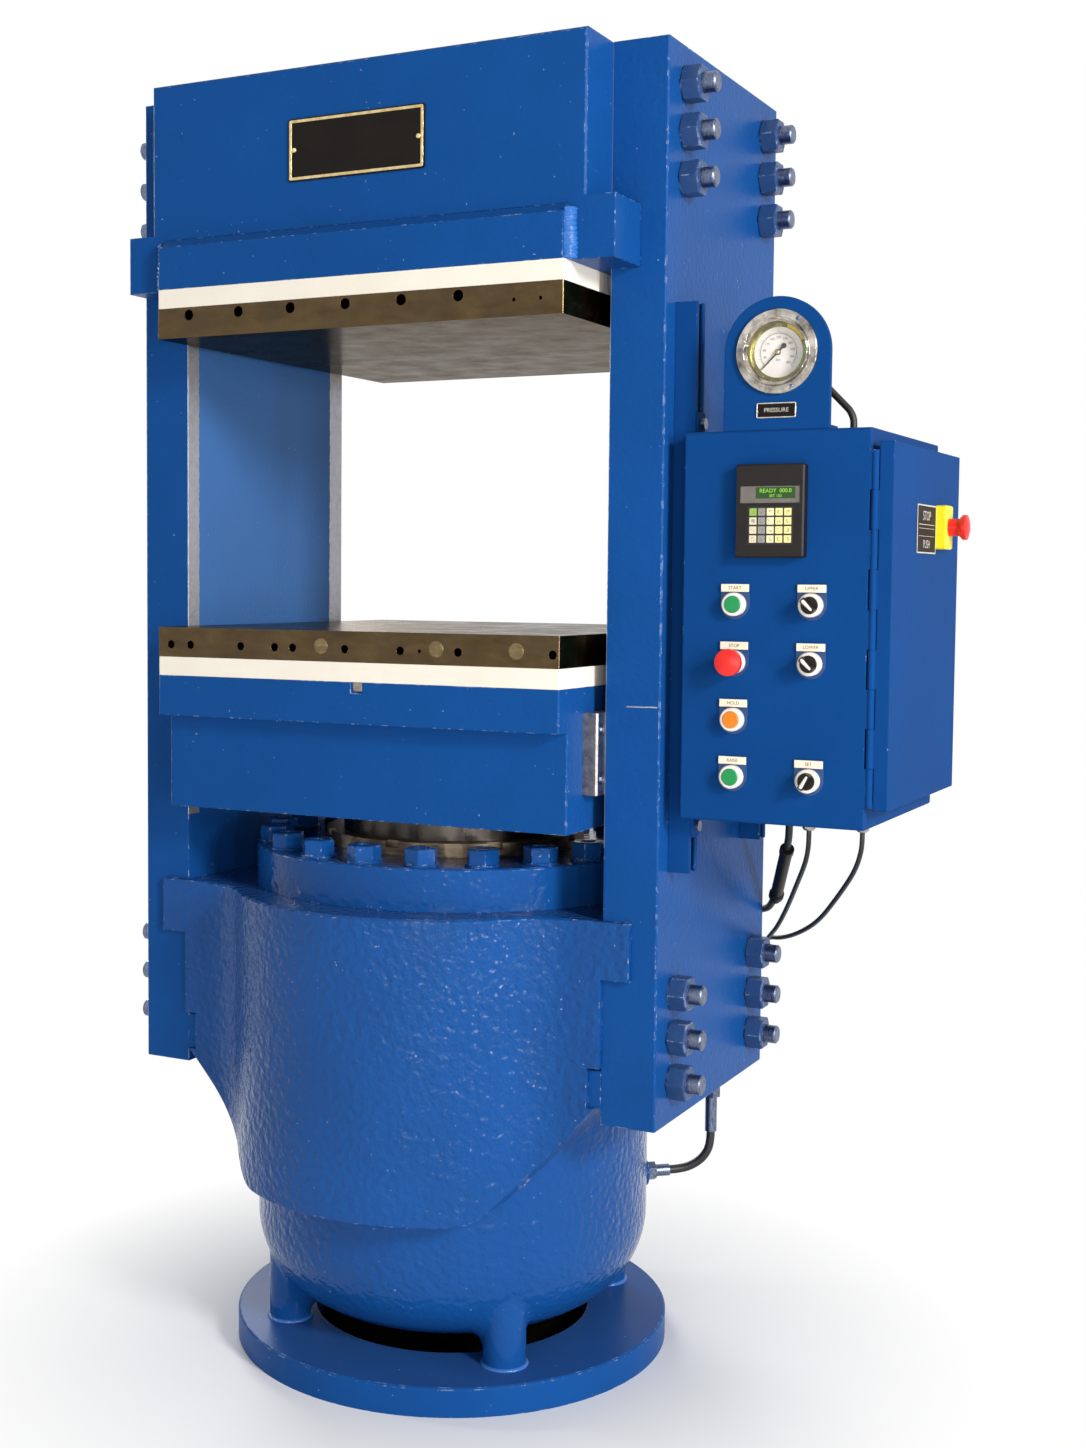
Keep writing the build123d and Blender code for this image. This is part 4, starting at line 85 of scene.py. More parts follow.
# %% Node, colour and size helpers
def add(tree, kind, sockets=None, **settings):
    """Adds one node. A socket's value is another node's output, which is linked, or a constant."""
    node = tree.nodes.new("ShaderNode" + kind)
    for key, value in settings.items():
        setattr(node, key, value)
    for key, value in (sockets or {}).items():
        if isinstance(value, bpy.types.NodeSocket):
            tree.links.new(value, node.inputs[key])
        else:
            node.inputs[key].default_value = value
    return node


def colour(code):
    """An sRGB hex value as linear red, green, blue and alpha."""
    srgb = np.array([int(code[i:i + 2], 16) for i in (1, 3, 5)]) / 255
    return (*np.where(srgb <= 0.04045, srgb / 12.92, ((srgb + 0.055) / 1.055) ** 2.4), 1.0)


def per(mm):
    """A pattern's scale, as repeats in a metre of a grain so many millimetres wide."""
    return 1000.0 / mm


def begin(name, **sockets):
    """A new finish: its material, node tree, shader, and Object coordinates in metres."""
    material = bpy.data.materials.new(name)
    material.use_nodes = True
    tree = material.node_tree
    tree.nodes.clear()
    shader = add(tree, "BsdfPrincipled", {k.replace("_", " "): v for k, v in sockets.items()})
    add(tree, "OutputMaterial", {"Surface": shader.outputs[0]})
    return material, tree, shader, add(tree, "TexCoord").outputs["Object"]


# %% [markdown]
# ## Blue enamel
# The frame, casting and cabinet are sprayed with a deep blue gloss enamel. On plate it dries to a fine
# orange peel; over the rough cast skin it keeps the sand's bumps and throws small glints. Corners are
# rubbed to pale primer and bright steel. A Bevel node finds the corners, because the meshes are loose
# triangles, and also rounds them in the light.

# %% Enamel
CLOUD_MM, FLAKE_MM, SPECK_MM = 230, 15, 7
PEEL_MM = 5  # a real orange peel is nearer 2 mm wide, which would be too fine to show
WORN_CORNER = 0.0028  # metres
FEET_TOP, SKIN_FOOT = 0.12, 0.2  # metres up, between which the cast skin sets in above the smoother feet
# the last colour is painted light: a paler blue that stands in for light falling on the plates' inner faces
DUST, PRIMER, PAINTED_LIGHT_BLUE = "#8fa3bd", "#aebccf", "#6f9fd6"
GRAZED_DARK, GRAZED_PALE = "#8d8f98", "#c3c4c8"


def enamel(name, deep, light, skin_mm, skin_depth, peel, chipped, gloss_range, shine, bare=None):
    """Sprayed enamel: two blues in slow clouds, a skin and an orange peel as bumps, chipped corners.
    bare may give one mask in which the steel shows and one for painted light on the inner faces."""
    material, tree, shader, where = begin(name, Specular_IOR_Level=shine)
    cloud = add(tree, "TexNoise", {"Vector": where, "Scale": per(CLOUD_MM), "Detail": 4.0,
                                   "Roughness": 0.6})
    paint = add(tree, "Mix", {0: cloud.outputs[0], 6: colour(deep), 7: colour(light)}, data_type="RGBA")
    facing = add(tree, "NewGeometry")
    lie = add(tree, "SeparateXYZ", {0: facing.outputs["Normal"]})
    dust = add(tree, "MapRange", {"Value": lie.outputs[2], "From Min": 0.75, "From Max": 1.0,
                                  "To Max": 0.05})
    dusty = add(tree, "Mix", {0: dust.outputs[0], 6: paint.outputs[2], 7: colour(DUST)},
                data_type="RGBA")
    corner = add(tree, "Bevel", {"Radius": WORN_CORNER}, samples=4)
    bend = add(tree, "VectorMath", {0: corner.outputs[0], 1: facing.outputs["Normal"]},
               operation="DOT_PRODUCT")
    edge = add(tree, "MapRange", {"Value": bend.outputs["Value"], "From Min": 0.985, "From Max": 0.87})
    flake = add(tree, "TexNoise", {"Vector": where, "Scale": per(FLAKE_MM), "Detail": 6.0,
                                   "Roughness": 0.7})
    torn = add(tree, "MapRange", {"Value": flake.outputs[0], "From Min": 0.62 - chipped,
                                  "From Max": 0.66 - chipped})
    chip = add(tree, "Math", {0: edge.outputs[0], 1: torn.outputs[0]}, operation="MULTIPLY")
    dots = add(tree, "TexNoise", {"Vector": where, "Scale": per(SPECK_MM), "Detail": 2.0})
    speck = add(tree, "MapRange", {"Value": dots.outputs[0], "From Min": 0.755, "From Max": 0.775,
                                   "To Max": 0.55 if chipped else 0.0})
    worn = add(tree, "Math", {0: chip.outputs[0], 1: speck.outputs[0]}, operation="MAXIMUM")
    tone = add(tree, "Mix", {0: worn.outputs[0], 6: dusty.outputs[2], 7: colour(PRIMER)},
               data_type="RGBA")
    gloss = add(tree, "MapRange", {"Value": cloud.outputs[0], "To Min": gloss_range[0],
                                   "To Max": gloss_range[1]})
    sand = add(tree, "TexNoise", {"Vector": where, "Scale": per(skin_mm), "Detail": 2.0,
                                  "Roughness": 0.4})
    fine = add(tree, "TexNoise", {"Vector": where, "Scale": per(PEEL_MM), "Detail": 1.0})
    height = add(tree, "SeparateXYZ", {0: where})
    above_feet = add(tree, "MapRange", {"Value": height.outputs[2], "From Min": FEET_TOP,
                                        "From Max": SKIN_FOOT, "To Min": 0.15})
    rough_skin = add(tree, "Bump", {"Height": sand.outputs[0], "Strength": above_feet.outputs[0],
                                    "Distance": skin_depth, "Normal": corner.outputs[0]})
    peeled = add(tree, "Bump", {"Height": fine.outputs[0], "Strength": 1.0, "Distance": peel,
                                "Normal": rough_skin.outputs[0]})
    tree.links.new(peeled.outputs[0], shader.inputs["Normal"])
    if bare is None:
        tree.links.new(tone.outputs[2], shader.inputs["Base Color"])
        tree.links.new(gloss.outputs[0], shader.inputs["Roughness"])
        return material
    steel, painted_light = bare(tree, where, flake)
    # painted light: the inner faces are mixed toward a paler blue that stands in for the light falling on
    # them
    lightened = add(tree, "Mix", {0: painted_light, 6: tone.outputs[2], 7: colour(PAINTED_LIGHT_BLUE)}, data_type="RGBA")
    graze = add(tree, "Mix", {0: flake.outputs[0], 6: colour(GRAZED_DARK),
                               7: colour(GRAZED_PALE)}, data_type="RGBA")
    shown = add(tree, "Mix", {0: steel, 6: lightened.outputs[2], 7: graze.outputs[2]}, data_type="RGBA")
    matt = add(tree, "Mix", {0: steel, 2: gloss.outputs[0], 3: 0.42})
    metal = add(tree, "Math", {0: steel, 1: 0.75}, operation="MULTIPLY")
    tree.links.new(shown.outputs[2], shader.inputs["Base Color"])
    tree.links.new(matt.outputs[0], shader.inputs["Roughness"])
    tree.links.new(metal.outputs[0], shader.inputs["Metallic"])
    return material


# metres: the plates' inner face, the two strips' edges and foot, the scratch, where painted light starts
INNER_FACE, STRIP_FRONT, STRIP_REAR, STRIP_FOOT = 0.407, -0.227, 0.215, 0.95
RAGGED = 0.006
SCRATCH_MIDDLE, SCRATCH_HALF, SCRATCH_LOW, SCRATCH_HIGH, SCRATCH_THIN = 0.469, 0.026, 1.176, 1.18, 0.0009
PAINTED_LIGHT_FOOT, PAINTED_LIGHT_FULL, PAINTED_LIGHT_SHARE = 1.0, 1.3, 0.28


def machined_strips(tree, where, flake):
    """On the plates' inner faces, two upright strips were milled for the guides and left bare. The mask
    is the inner face by its X, times either strip by its Y, with a ragged paint line. A scratch runs
    level across the right plate's front. The second mask is painted light: above the casting the inner
    faces turn partly to a paler blue, which stands in for the light falling on them."""
    place = add(tree, "SeparateXYZ", {0: where})
    out = add(tree, "Math", {0: place.outputs[0]}, operation="ABSOLUTE")
    inner = add(tree, "Math", {0: out.outputs[0], 1: INNER_FACE, 2: 0.0008}, operation="COMPARE")
    ragged = add(tree, "MapRange", {"Value": flake.outputs[0], "To Min": -RAGGED, "To Max": RAGGED})
    depth = add(tree, "Math", {0: place.outputs[1], 1: ragged.outputs[0]}, operation="ADD")
    front = add(tree, "Math", {0: depth.outputs[0], 1: STRIP_FRONT}, operation="LESS_THAN")
    rear = add(tree, "Math", {0: depth.outputs[0], 1: STRIP_REAR}, operation="GREATER_THAN")
    strip = add(tree, "Math", {0: front.outputs[0], 1: rear.outputs[0]}, operation="MAXIMUM")
    low = add(tree, "Math", {0: place.outputs[2], 1: STRIP_FOOT}, operation="GREATER_THAN")
    both = add(tree, "Math", {0: strip.outputs[0], 1: low.outputs[0]}, operation="MULTIPLY")
    milled = add(tree, "Math", {0: both.outputs[0], 1: inner.outputs[0]}, operation="MULTIPLY")
    long = add(tree, "Math", {0: place.outputs[0], 1: SCRATCH_MIDDLE, 2: SCRATCH_HALF}, operation="COMPARE")
    wander = add(tree, "MapRange", {"Value": flake.outputs[0], "To Min": SCRATCH_LOW,
                                    "To Max": SCRATCH_HIGH})
    thin = add(tree, "Math", {0: place.outputs[2], 1: wander.outputs[0], 2: SCRATCH_THIN},
               operation="COMPARE")
    line = add(tree, "Math", {0: long.outputs[0], 1: thin.outputs[0]}, operation="MULTIPLY")
    scratch = add(tree, "Math", {0: line.outputs[0], 1: front.outputs[0]}, operation="MULTIPLY")
    steel = add(tree, "Math", {0: milled.outputs[0], 1: scratch.outputs[0]}, operation="MAXIMUM")
    # painted light: from this height up the inner faces take a share of the paler blue
    clear_of_casting = add(tree, "MapRange", {"Value": place.outputs[2], "From Min": PAINTED_LIGHT_FOOT,
                                              "From Max": PAINTED_LIGHT_FULL, "To Max": PAINTED_LIGHT_SHARE})
    painted_light = add(tree, "Math", {0: inner.outputs[0], 1: clear_of_casting.outputs[0]},
               operation="MULTIPLY")
    return steel.outputs[0], painted_light.outputs[0]


BLUE_DEEP, BLUE_LIGHT = "#10427d", "#144f95"
# thick gloss over a sand-cast skin: soft lumps that break every lamp into glints
cast_enamel = enamel("gloss_enamel_over_cast_iron", BLUE_DEEP, BLUE_LIGHT, 13, 0.0044, 0.0002, 0.06,
                     (0.06, 0.1), 0.16)
# the same gloss on turned iron: lower, wider lumps
turned_enamel = enamel("gloss_enamel_on_turned_iron", BLUE_DEEP, BLUE_LIGHT, 14, 0.0018, 0.00008, 0.06,
                       (0.1, 0.14), 0.13)
# sprayed on rolled plate: an even sheen, a faint orange peel and rubbed corners
plate_enamel = enamel("gloss_enamel_on_plate", BLUE_DEEP, BLUE_LIGHT, 8, 0.0008, 0.0001, 0.08,
                      (0.28, 0.36), 0.06)
# the same on the side plates, whose milled guide strips stay bare and whose inner faces take painted light
guide_plate_enamel = enamel("gloss_enamel_on_milled_plate", BLUE_DEEP, BLUE_LIGHT, 8, 0.0008, 0.0001,
                            0.08, (0.28, 0.36), 0.06, machined_strips)
# paint that ran thick over the welds: wetter than the rest, and paler as painted highlight
weld_enamel = enamel("gloss_enamel_on_weld_beads", "#1b559f", "#2f71bb", 9, 0.0016, 0.00008, 0.1,
                     (0.08, 0.12), 0.45)
# satin on folded sheet steel: a flat, darker blue with hardly any shine
sheet_enamel = enamel("satin_enamel_on_sheet_steel", "#0e3b71", "#124687", 8, 0.0003, 0.00006, 0.0,
                      (0.42, 0.5), 0.012)
# a thin coat on forged nuts, greyed by spanners
nut_enamel = enamel("thin_enamel_on_forged_nuts", "#213863", "#32517f", 12, 0.0006, 0.0002, 0.1,
                    (0.22, 0.34), 0.2)
print("enamels:", cast_enamel.name, plate_enamel.name, sheet_enamel.name, nut_enamel.name)

# %% [markdown]
# ## Bare metals
# The platens are ground tool steel, browned by years of heat, with stains and rubbed patches on their
# edges. The guides, studs and bush are bare too. Each is one metal with two tones in a noise that is
# drawn out along the grinding, and a roughness that follows it.

# %% Metals
STAIN_MM = 70
GROUND_CORNER = 0.0012  # metres
EVEN = (1.0, 1.0, 1.0)  # a grain that is not drawn out


def ground_metal(name, dark, pale, grain_mm, stretch, smooth, rough, ridge=0.00004, stain=None,
                 rim="#ffffff"):
    """Ground metal: two tones in a noise stretched along the wheel's path, fine ridges as bumps, and
    where stain is given, blotches of that colour about 70 mm wide. rim tints it at grazing angles. A
    wheel's real marks are finer than a point of the picture, so they are drawn millimetres wide."""
    material, tree, shader, where = begin(name, Metallic=1.0, Specular_Tint=colour(rim))
    lay = add(tree, "Mapping", {"Vector": where, "Scale": stretch})
    grain = add(tree, "TexNoise", {"Vector": lay.outputs[0], "Scale": per(grain_mm), "Detail": 5.0,
                                   "Roughness": 0.65})
    spread = add(tree, "MapRange", {"Value": grain.outputs[0], "From Min": 0.3, "From Max": 0.7})
    tone = add(tree, "Mix", {0: spread.outputs[0], 6: colour(dark), 7: colour(pale)}, data_type="RGBA")
    if stain:
        blot = add(tree, "TexNoise", {"Vector": where, "Scale": per(STAIN_MM), "Detail": 6.0,
                                      "Roughness": 0.65})
        mark = add(tree, "MapRange", {"Value": blot.outputs[0], "From Min": 0.42, "From Max": 0.75,
                                      "To Max": 0.6})
        tone = add(tree, "Mix", {0: mark.outputs[0], 6: tone.outputs[2], 7: colour(stain)},
                   data_type="RGBA")
    gloss = add(tree, "MapRange", {"Value": grain.outputs[0], "From Min": 0.3, "From Max": 0.7,
                                   "To Min": smooth, "To Max": rough})
    corner = add(tree, "Bevel", {"Radius": GROUND_CORNER}, samples=4)
    ridges = add(tree, "Bump", {"Height": grain.outputs[0], "Strength": 1.0, "Distance": ridge,
                                "Normal": corner.outputs[0]})
    tree.links.new(tone.outputs[2], shader.inputs["Base Color"])
    tree.links.new(gloss.outputs[0], shader.inputs["Roughness"])
    tree.links.new(ridges.outputs[0], shader.inputs["Normal"])
    return material


# heat browns the ground tool steel in patches, and it mirrors softly
platen_steel = ground_metal("ground_tool_steel_browned_by_heat", "#50402b", "#67563c", 34,
                            (0.5, 0.5, 1.2), 0.16, 0.3, 0.00002, "#4d4238", "#a8a29b")
# the plugs in the platen are rubbed paler than the steel round them
plug_steel = ground_metal("rubbed_plug_steel", "#6b5a42", "#9a875f", 9, (0.4, 1.0, 1.0), 0.18, 0.34,
                          0.00006, "#5b4a36", "#6f5f50")
# milled mild steel: grey, with cutter marks across it
guide_steel = ground_metal("milled_mild_steel", "#7d7672", "#b9b2ac", 9, (1.0, 0.2, 1.0), 0.3, 0.45,
                           0.0001, "#6b5f58")
# bolt ends: bluish steel with rings from the lathe, which stand in for the fine thread
stud_steel = ground_metal("turned_bolt_steel", "#414d68", "#8891a6", 4, (3.0, 0.6, 0.6), 0.25, 0.42,
                          0.0002)
# polished chromium shows its room as bright and dark patches; in a white room the patches are painted in
bezel_chrome = ground_metal("polished_bezel_chromium", "#57514a", "#e6dfd4", 36, EVEN, 0.06, 0.16,
                            0.00001)
chrome = ground_metal("polished_chromium_plate", "#a79f98", "#cbc3bb", 18, EVEN, 0.08, 0.2, 0.00001)
# the ground ram is darkened as painted shade, the shade under the bolster, and its streaks are drawn
# upright
shaded_ram_steel = ground_metal("ground_ram_steel_darkened_as_shade", "#3a3633", "#5a544e", 30, (1.0, 1.0, 0.2), 0.22, 0.34,
                         0.00001)
# turned gunmetal, dull and stained where oil dries on it
bush_bronze = ground_metal("turned_gunmetal", "#6b5e50", "#9c8b76", 14, (0.5, 0.5, 3.0), 0.34, 0.5,
                           0.0001, "#332c25")
# zinc plate has a pale, cloudy spangle
zinc = ground_metal("zinc_plated_sheet", "#a2a5a6", "#c9c8c0", 24, EVEN, 0.3, 0.42, 0.00002)
# brass: bright on the plate's edge, gone olive inside the gauge
gold = ground_metal("polished_brass", "#c4a565", "#ecd9ab", 12, EVEN, 0.18, 0.3, 0.00001)
olive = ground_metal("tarnished_brass", "#5f5a2b", "#a89f5e", 12, EVEN, 0.2, 0.3, 0.00001)
# the label's edge is bright aluminium with a soft shine
silver = ground_metal("bright_aluminium", "#b4b0aa", "#e4e0da", 12, EVEN, 0.2, 0.32, 0.00001)
print("metals:", platen_steel.name, guide_steel.name, stud_steel.name, chrome.name)

# %% [markdown]
# ## Board, plastics, rubber and glass
# The insulation is pressed cream board. The operators are moulded plastic with a faint spark-eroded
# grain, the cables and hoses have a dull rubber jacket, and the gauge has a clear glass.

# %% Board, plastics, rubber and glass
MOULDED_CORNER = 0.0008  # metres


def moulded(name, dark, pale, grain_mm, grain_depth, rough, clouds_mm=40, **sockets):
    """A moulded or pressed solid: two near tones in soft clouds and a fine grain as bumps. A mould's real
    grain is about 0.2 mm wide, so it is drawn some ten times coarser, or it would not show."""
    material, tree, shader, where = begin(name, Roughness=rough, **sockets)
    cloud = add(tree, "TexNoise", {"Vector": where, "Scale": per(clouds_mm), "Detail": 4.0})
    tone = add(tree, "Mix", {0: cloud.outputs[0], 6: colour(dark), 7: colour(pale)}, data_type="RGBA")
    grain = add(tree, "TexNoise", {"Vector": where, "Scale": per(grain_mm), "Detail": 2.0})
    corner = add(tree, "Bevel", {"Radius": MOULDED_CORNER}, samples=4)
    bumps = add(tree, "Bump", {"Height": grain.outputs[0], "Strength": 1.0, "Distance": grain_depth,
                               "Normal": corner.outputs[0]})
    tree.links.new(tone.outputs[2], shader.inputs["Base Color"])
    tree.links.new(bumps.outputs[0], shader.inputs["Normal"])
    return material


# pressed fibre board: cream, matt and a little fluffy
board = moulded("pressed_insulation_board", "#e6dccb", "#f3ecdf", 6, 0.0003, 0.75, 90,
                Specular_IOR_Level=0.2)
# moulded plastics: clear, even colours under a soft shine
black_plastic = moulded("black_moulded_abs", "#100d0b", "#1f1a17", 1.5, 0.00006, 0.42,
                        Specular_IOR_Level=0.25)
white_plastic = moulded("cream_moulded_abs", "#ddd6c8", "#f3eee3", 2, 0.00003, 0.38)
grey_plastic = moulded("grey_moulded_polyamide", "#6d7073", "#8c8f91", 1.5, 0.00005, 0.45)
green_plastic = moulded("green_moulded_abs", "#057a3d", "#0c9550", 2, 0.00004, 0.36)
red_plastic = moulded("red_moulded_abs", "#d4140f", "#ee2b20", 2, 0.00004, 0.34)
orange_plastic = moulded("orange_moulded_abs", "#ee7008", "#fb8a1c", 2, 0.00004, 0.36)
yellow_plastic = moulded("yellow_moulded_abs", "#e9cb08", "#fbe41f", 2, 0.00005, 0.4)
# a rubber jacket is dull and slightly dusty
rubber = moulded("black_rubber_jacket", "#101010", "#232222", 2.5, 0.00015, 0.5, 60)
# printed films, plates and cards: flat and matt, so that their words stay readable
dark_film = moulded("dark_printed_film", "#15110f", "#231c1a", 2, 0.00002, 0.6, Specular_IOR_Level=0.2)
plate_black = moulded("black_anodised_plate", "#0b0907", "#1b1612", 2, 0.00003, 0.55, 60,
                      Specular_IOR_Level=0.12)
dial_card = moulded("printed_dial_card", "#f7ece4", "#fff8f2", 3, 0.00001, 0.6, 60)
ink = moulded("black_printing_ink", "#1a1614", "#2b2522", 2, 0.00001, 0.6)
# lit segments: a bright yellow green against the dark field
lit_green = moulded("lit_green_segments", "#6fbf1f", "#a5ec3f", 2, 0.00001, 0.5)
yellow_ink = moulded("yellow_printing_ink", "#d9b70c", "#f0d437", 2, 0.00001, 0.6)
green_ink = moulded("green_printing_ink", "#6ea53a", "#9ccf57", 2, 0.00001, 0.6)
card = moulded("cream_legend_card", "#e9d8bd", "#f7ead4", 3, 0.00001, 0.6, 30)
pale_ink = moulded("pale_printing_ink", "#b9b3ab", "#d3cdc4", 2, 0.00001, 0.7, Specular_IOR_Level=0.1)
legend_holder = moulded("blue_grey_moulded_holder", "#12315f", "#1b4379", 2, 0.00004, 0.35)

# window glass: clear, with a sharp reflection
glass, tree, shader, _ = begin("clear_window_glass", Roughness=0.02, IOR=1.45, Transmission_Weight=1.0)
# lamplight goes straight through the thin pane, so that the card behind it is lit
path = add(tree, "LightPath")
let_by = add(tree, "Math", {0: path.outputs["Is Shadow Ray"], 1: path.outputs["Is Diffuse Ray"]},
             operation="MAXIMUM")
pane = add(tree, "MixShader", {0: let_by.outputs[0], 1: shader.outputs[0],
                               2: add(tree, "BsdfTransparent").outputs[0]})
tree.links.new(pane.outputs[0], tree.nodes["Material Output"].inputs["Surface"])
print("plastics and rubber done, window:", glass.name)

# %% [markdown]
# ## Terminal window and keys
# The operator terminal has a grey window with a green lit field in it, and a membrane of square keys,
# mostly cream, with one grey column. Both are drawn on the flat solid by position, so nothing is laid
# on top that could peel off.

# %% Terminal window
FIELD_X, FIELD_HALF_WIDTH, FIELD_Z, FIELD_HALF_HEIGHT = 0.687, 0.031, 1.5105, 0.0085  # metres
HAZE_MM = 18
# a tinted acrylic window: grey and hazy, with its lit field dark green
window, tree, shader, where = begin("terminal_window", Roughness=0.22)
place = add(tree, "SeparateXYZ", {0: where})
field_x = add(tree, "Math", {0: place.outputs[0], 1: FIELD_X, 2: FIELD_HALF_WIDTH}, operation="COMPARE")
field_z = add(tree, "Math", {0: place.outputs[2], 1: FIELD_Z, 2: FIELD_HALF_HEIGHT}, operation="COMPARE")
field = add(tree, "Math", {0: field_x.outputs[0], 1: field_z.outputs[0]}, operation="MULTIPLY")
haze = add(tree, "TexNoise", {"Vector": where, "Scale": per(HAZE_MM), "Detail": 2.0})
pane = add(tree, "Mix", {0: haze.outputs[0], 6: colour("#5b5650"), 7: colour("#78726a")},
           data_type="RGBA")
shown = add(tree, "Mix", {0: field.outputs[0], 6: pane.outputs[2], 7: colour("#1e4410")},
            data_type="RGBA")
tree.links.new(shown.outputs[2], shader.inputs["Base Color"])
print("window finish:", window.name)

# %% Membrane keys
KEY_PITCH, KEY_LEFT, KEY_LOW = 0.0136, 0.6460, 1.4343  # metres
KEY_COLUMNS, KEY_ROWS = 5, 4
KEY_HALF, SIGN_HALF = 0.405, 0.2  # shares of the pitch from a key's middle to its edge and its sign's
SIGN_MM = 3.0
# a printed polyester membrane: matt cream squares on black, each with a small worn sign
keys, tree, shader, where = begin("membrane_keys", Roughness=0.5)
place = add(tree, "SeparateXYZ", {0: where})
column = add(tree, "MapRange", {"Value": place.outputs[0], "From Min": KEY_LEFT,
                                "From Max": KEY_LEFT + KEY_COLUMNS * KEY_PITCH})
row = add(tree, "MapRange", {"Value": place.outputs[2], "From Min": KEY_LOW,
                             "From Max": KEY_LOW + KEY_ROWS * KEY_PITCH})
by_column = add(tree, "ValToRGB", {0: column.outputs[0]})
by_column.color_ramp.interpolation = "CONSTANT"
by_column.color_ramp.elements[0].color = colour("#d8cdae")
by_column.color_ramp.elements[1].position = 1 / KEY_COLUMNS
by_column.color_ramp.elements[1].color = colour("#8f8c86")
by_column.color_ramp.elements.new(2 / KEY_COLUMNS).color = colour("#efe1b4")
by_column.color_ramp.elements.new(3 / KEY_COLUMNS).color = colour("#f2df95")
first = add(tree, "Math", {0: column.outputs[0], 1: 1 / KEY_COLUMNS}, operation="LESS_THAN")
highest = add(tree, "Math", {0: row.outputs[0], 1: 1 - 1 / KEY_ROWS}, operation="GREATER_THAN")
start_key = add(tree, "Math", {0: first.outputs[0], 1: highest.outputs[0]}, operation="MULTIPLY")
greened = add(tree, "Mix", {0: start_key.outputs[0], 6: by_column.outputs[0], 7: colour("#8db24a")},
              data_type="RGBA")
# a key lies where both cell coordinates are near the cell's middle, and its sign is a small mark on it
across_cell = add(tree, "Math", {0: column.outputs[0], 1: KEY_COLUMNS}, operation="MULTIPLY")
up_cell = add(tree, "Math", {0: row.outputs[0], 1: KEY_ROWS}, operation="MULTIPLY")
cell_x = add(tree, "Math", {0: across_cell.outputs[0]}, operation="FRACT")
cell_z = add(tree, "Math", {0: up_cell.outputs[0]}, operation="FRACT")
in_x = add(tree, "Math", {0: cell_x.outputs[0], 1: 0.5}, operation="SUBTRACT")
in_z = add(tree, "Math", {0: cell_z.outputs[0], 1: 0.5}, operation="SUBTRACT")
off_x = add(tree, "Math", {0: in_x.outputs[0]}, operation="ABSOLUTE")
off_z = add(tree, "Math", {0: in_z.outputs[0]}, operation="ABSOLUTE")
off = add(tree, "Math", {0: off_x.outputs[0], 1: off_z.outputs[0]}, operation="MAXIMUM")
on_key = add(tree, "Math", {0: off.outputs[0], 1: KEY_HALF}, operation="LESS_THAN")
smudge = add(tree, "TexNoise", {"Vector": where, "Scale": per(SIGN_MM), "Detail": 1.0})
signed = add(tree, "Math", {0: off.outputs[0], 1: SIGN_HALF}, operation="LESS_THAN")
printed = add(tree, "Math", {0: smudge.outputs[0], 1: 0.53}, operation="GREATER_THAN")
mark = add(tree, "Math", {0: printed.outputs[0], 1: signed.outputs[0]}, operation="MULTIPLY")
faint = add(tree, "Math", {0: mark.outputs[0], 1: 0.6}, operation="MULTIPLY")
inked = add(tree, "Mix", {0: faint.outputs[0], 6: greened.outputs[2], 7: colour("#5d5546")},
            data_type="RGBA")
keyed = add(tree, "Mix", {0: on_key.outputs[0], 6: colour("#171412"), 7: inked.outputs[2]},
            data_type="RGBA")
tree.links.new(keyed.outputs[2], shader.inputs["Base Color"])
print("keys finish:", keys.name)

# %% [markdown]
# ## Dress the solids
# Each solid keeps its mesh and takes the finish of what the real piece is made of. A table of names is
# plainer than a rule, and a reader can change one line of it.

# %% Finish for every solid
worn_in = {
    cast_enamel: "cylinder",
    turned_enamel: "gland_ring gland_bolts",
    guide_plate_enamel: "left_side_plate right_side_plate",
    plate_enamel: "base_ring frame_keys crown crown_front_bar moving_bolster",
    sheet_enamel: "cabinet_rails cabinet_body cabinet_door gauge_bracket rear_junction_box",
    nut_enamel: "tie_nuts oil_block",
    stud_steel: "tie_studs cabinet_fasteners oil_fittings hinge_pin",
    platen_steel: "upper_platen lower_platen",
    guide_steel: "guide_gibs",
    bezel_chrome: "gauge_bezel",
    chrome: "cable_glands",
    shaded_ram_steel: "ram",
    bush_bronze: "gland_bush",
    zinc: "mounting_panel",
    board: "upper_insulation lower_insulation",
    black_plastic: "gauge_case terminal_housing cable_sleeve upper_selector lower_selector setting_knob",
    legend_holder: "legend_plates",
    white_plastic: "operator_bodies",
    grey_plastic: "panel_devices terminal_strip",
    green_plastic: "start_button raise_button",
    red_plastic: "stop_mushroom door_stop_mushroom",
    orange_plastic: "hold_button",
    yellow_plastic: "door_stop_box",
    rubber: "ram_packing door_gasket gauge_hose oil_hose supply_cable valve_cable switch_cable",
    plate_black: "nameplate",
    dial_card: "gauge_dial",
    ink: "gauge_needle",
    glass: "gauge_lens",
    window: "terminal_display",
    keys: "terminal_keys",
}
dressed = {name: finish for finish, names in worn_in.items() for name in names.split()}
for name, node in nodes.items():
    for holder in node.material_slots:
        holder.material = dressed[name]
print("dressed:", len(dressed), "of", len(nodes))

# %% [markdown]
# ## Cables and the oil hose
# Three cables leave glands under the cabinet and go to the box behind the right plate, and an oil hose
# joins the block to the cylinder's port. Each is one smooth spline through its route's control points,
# as thick as the real one, so it bends as a jacket does.

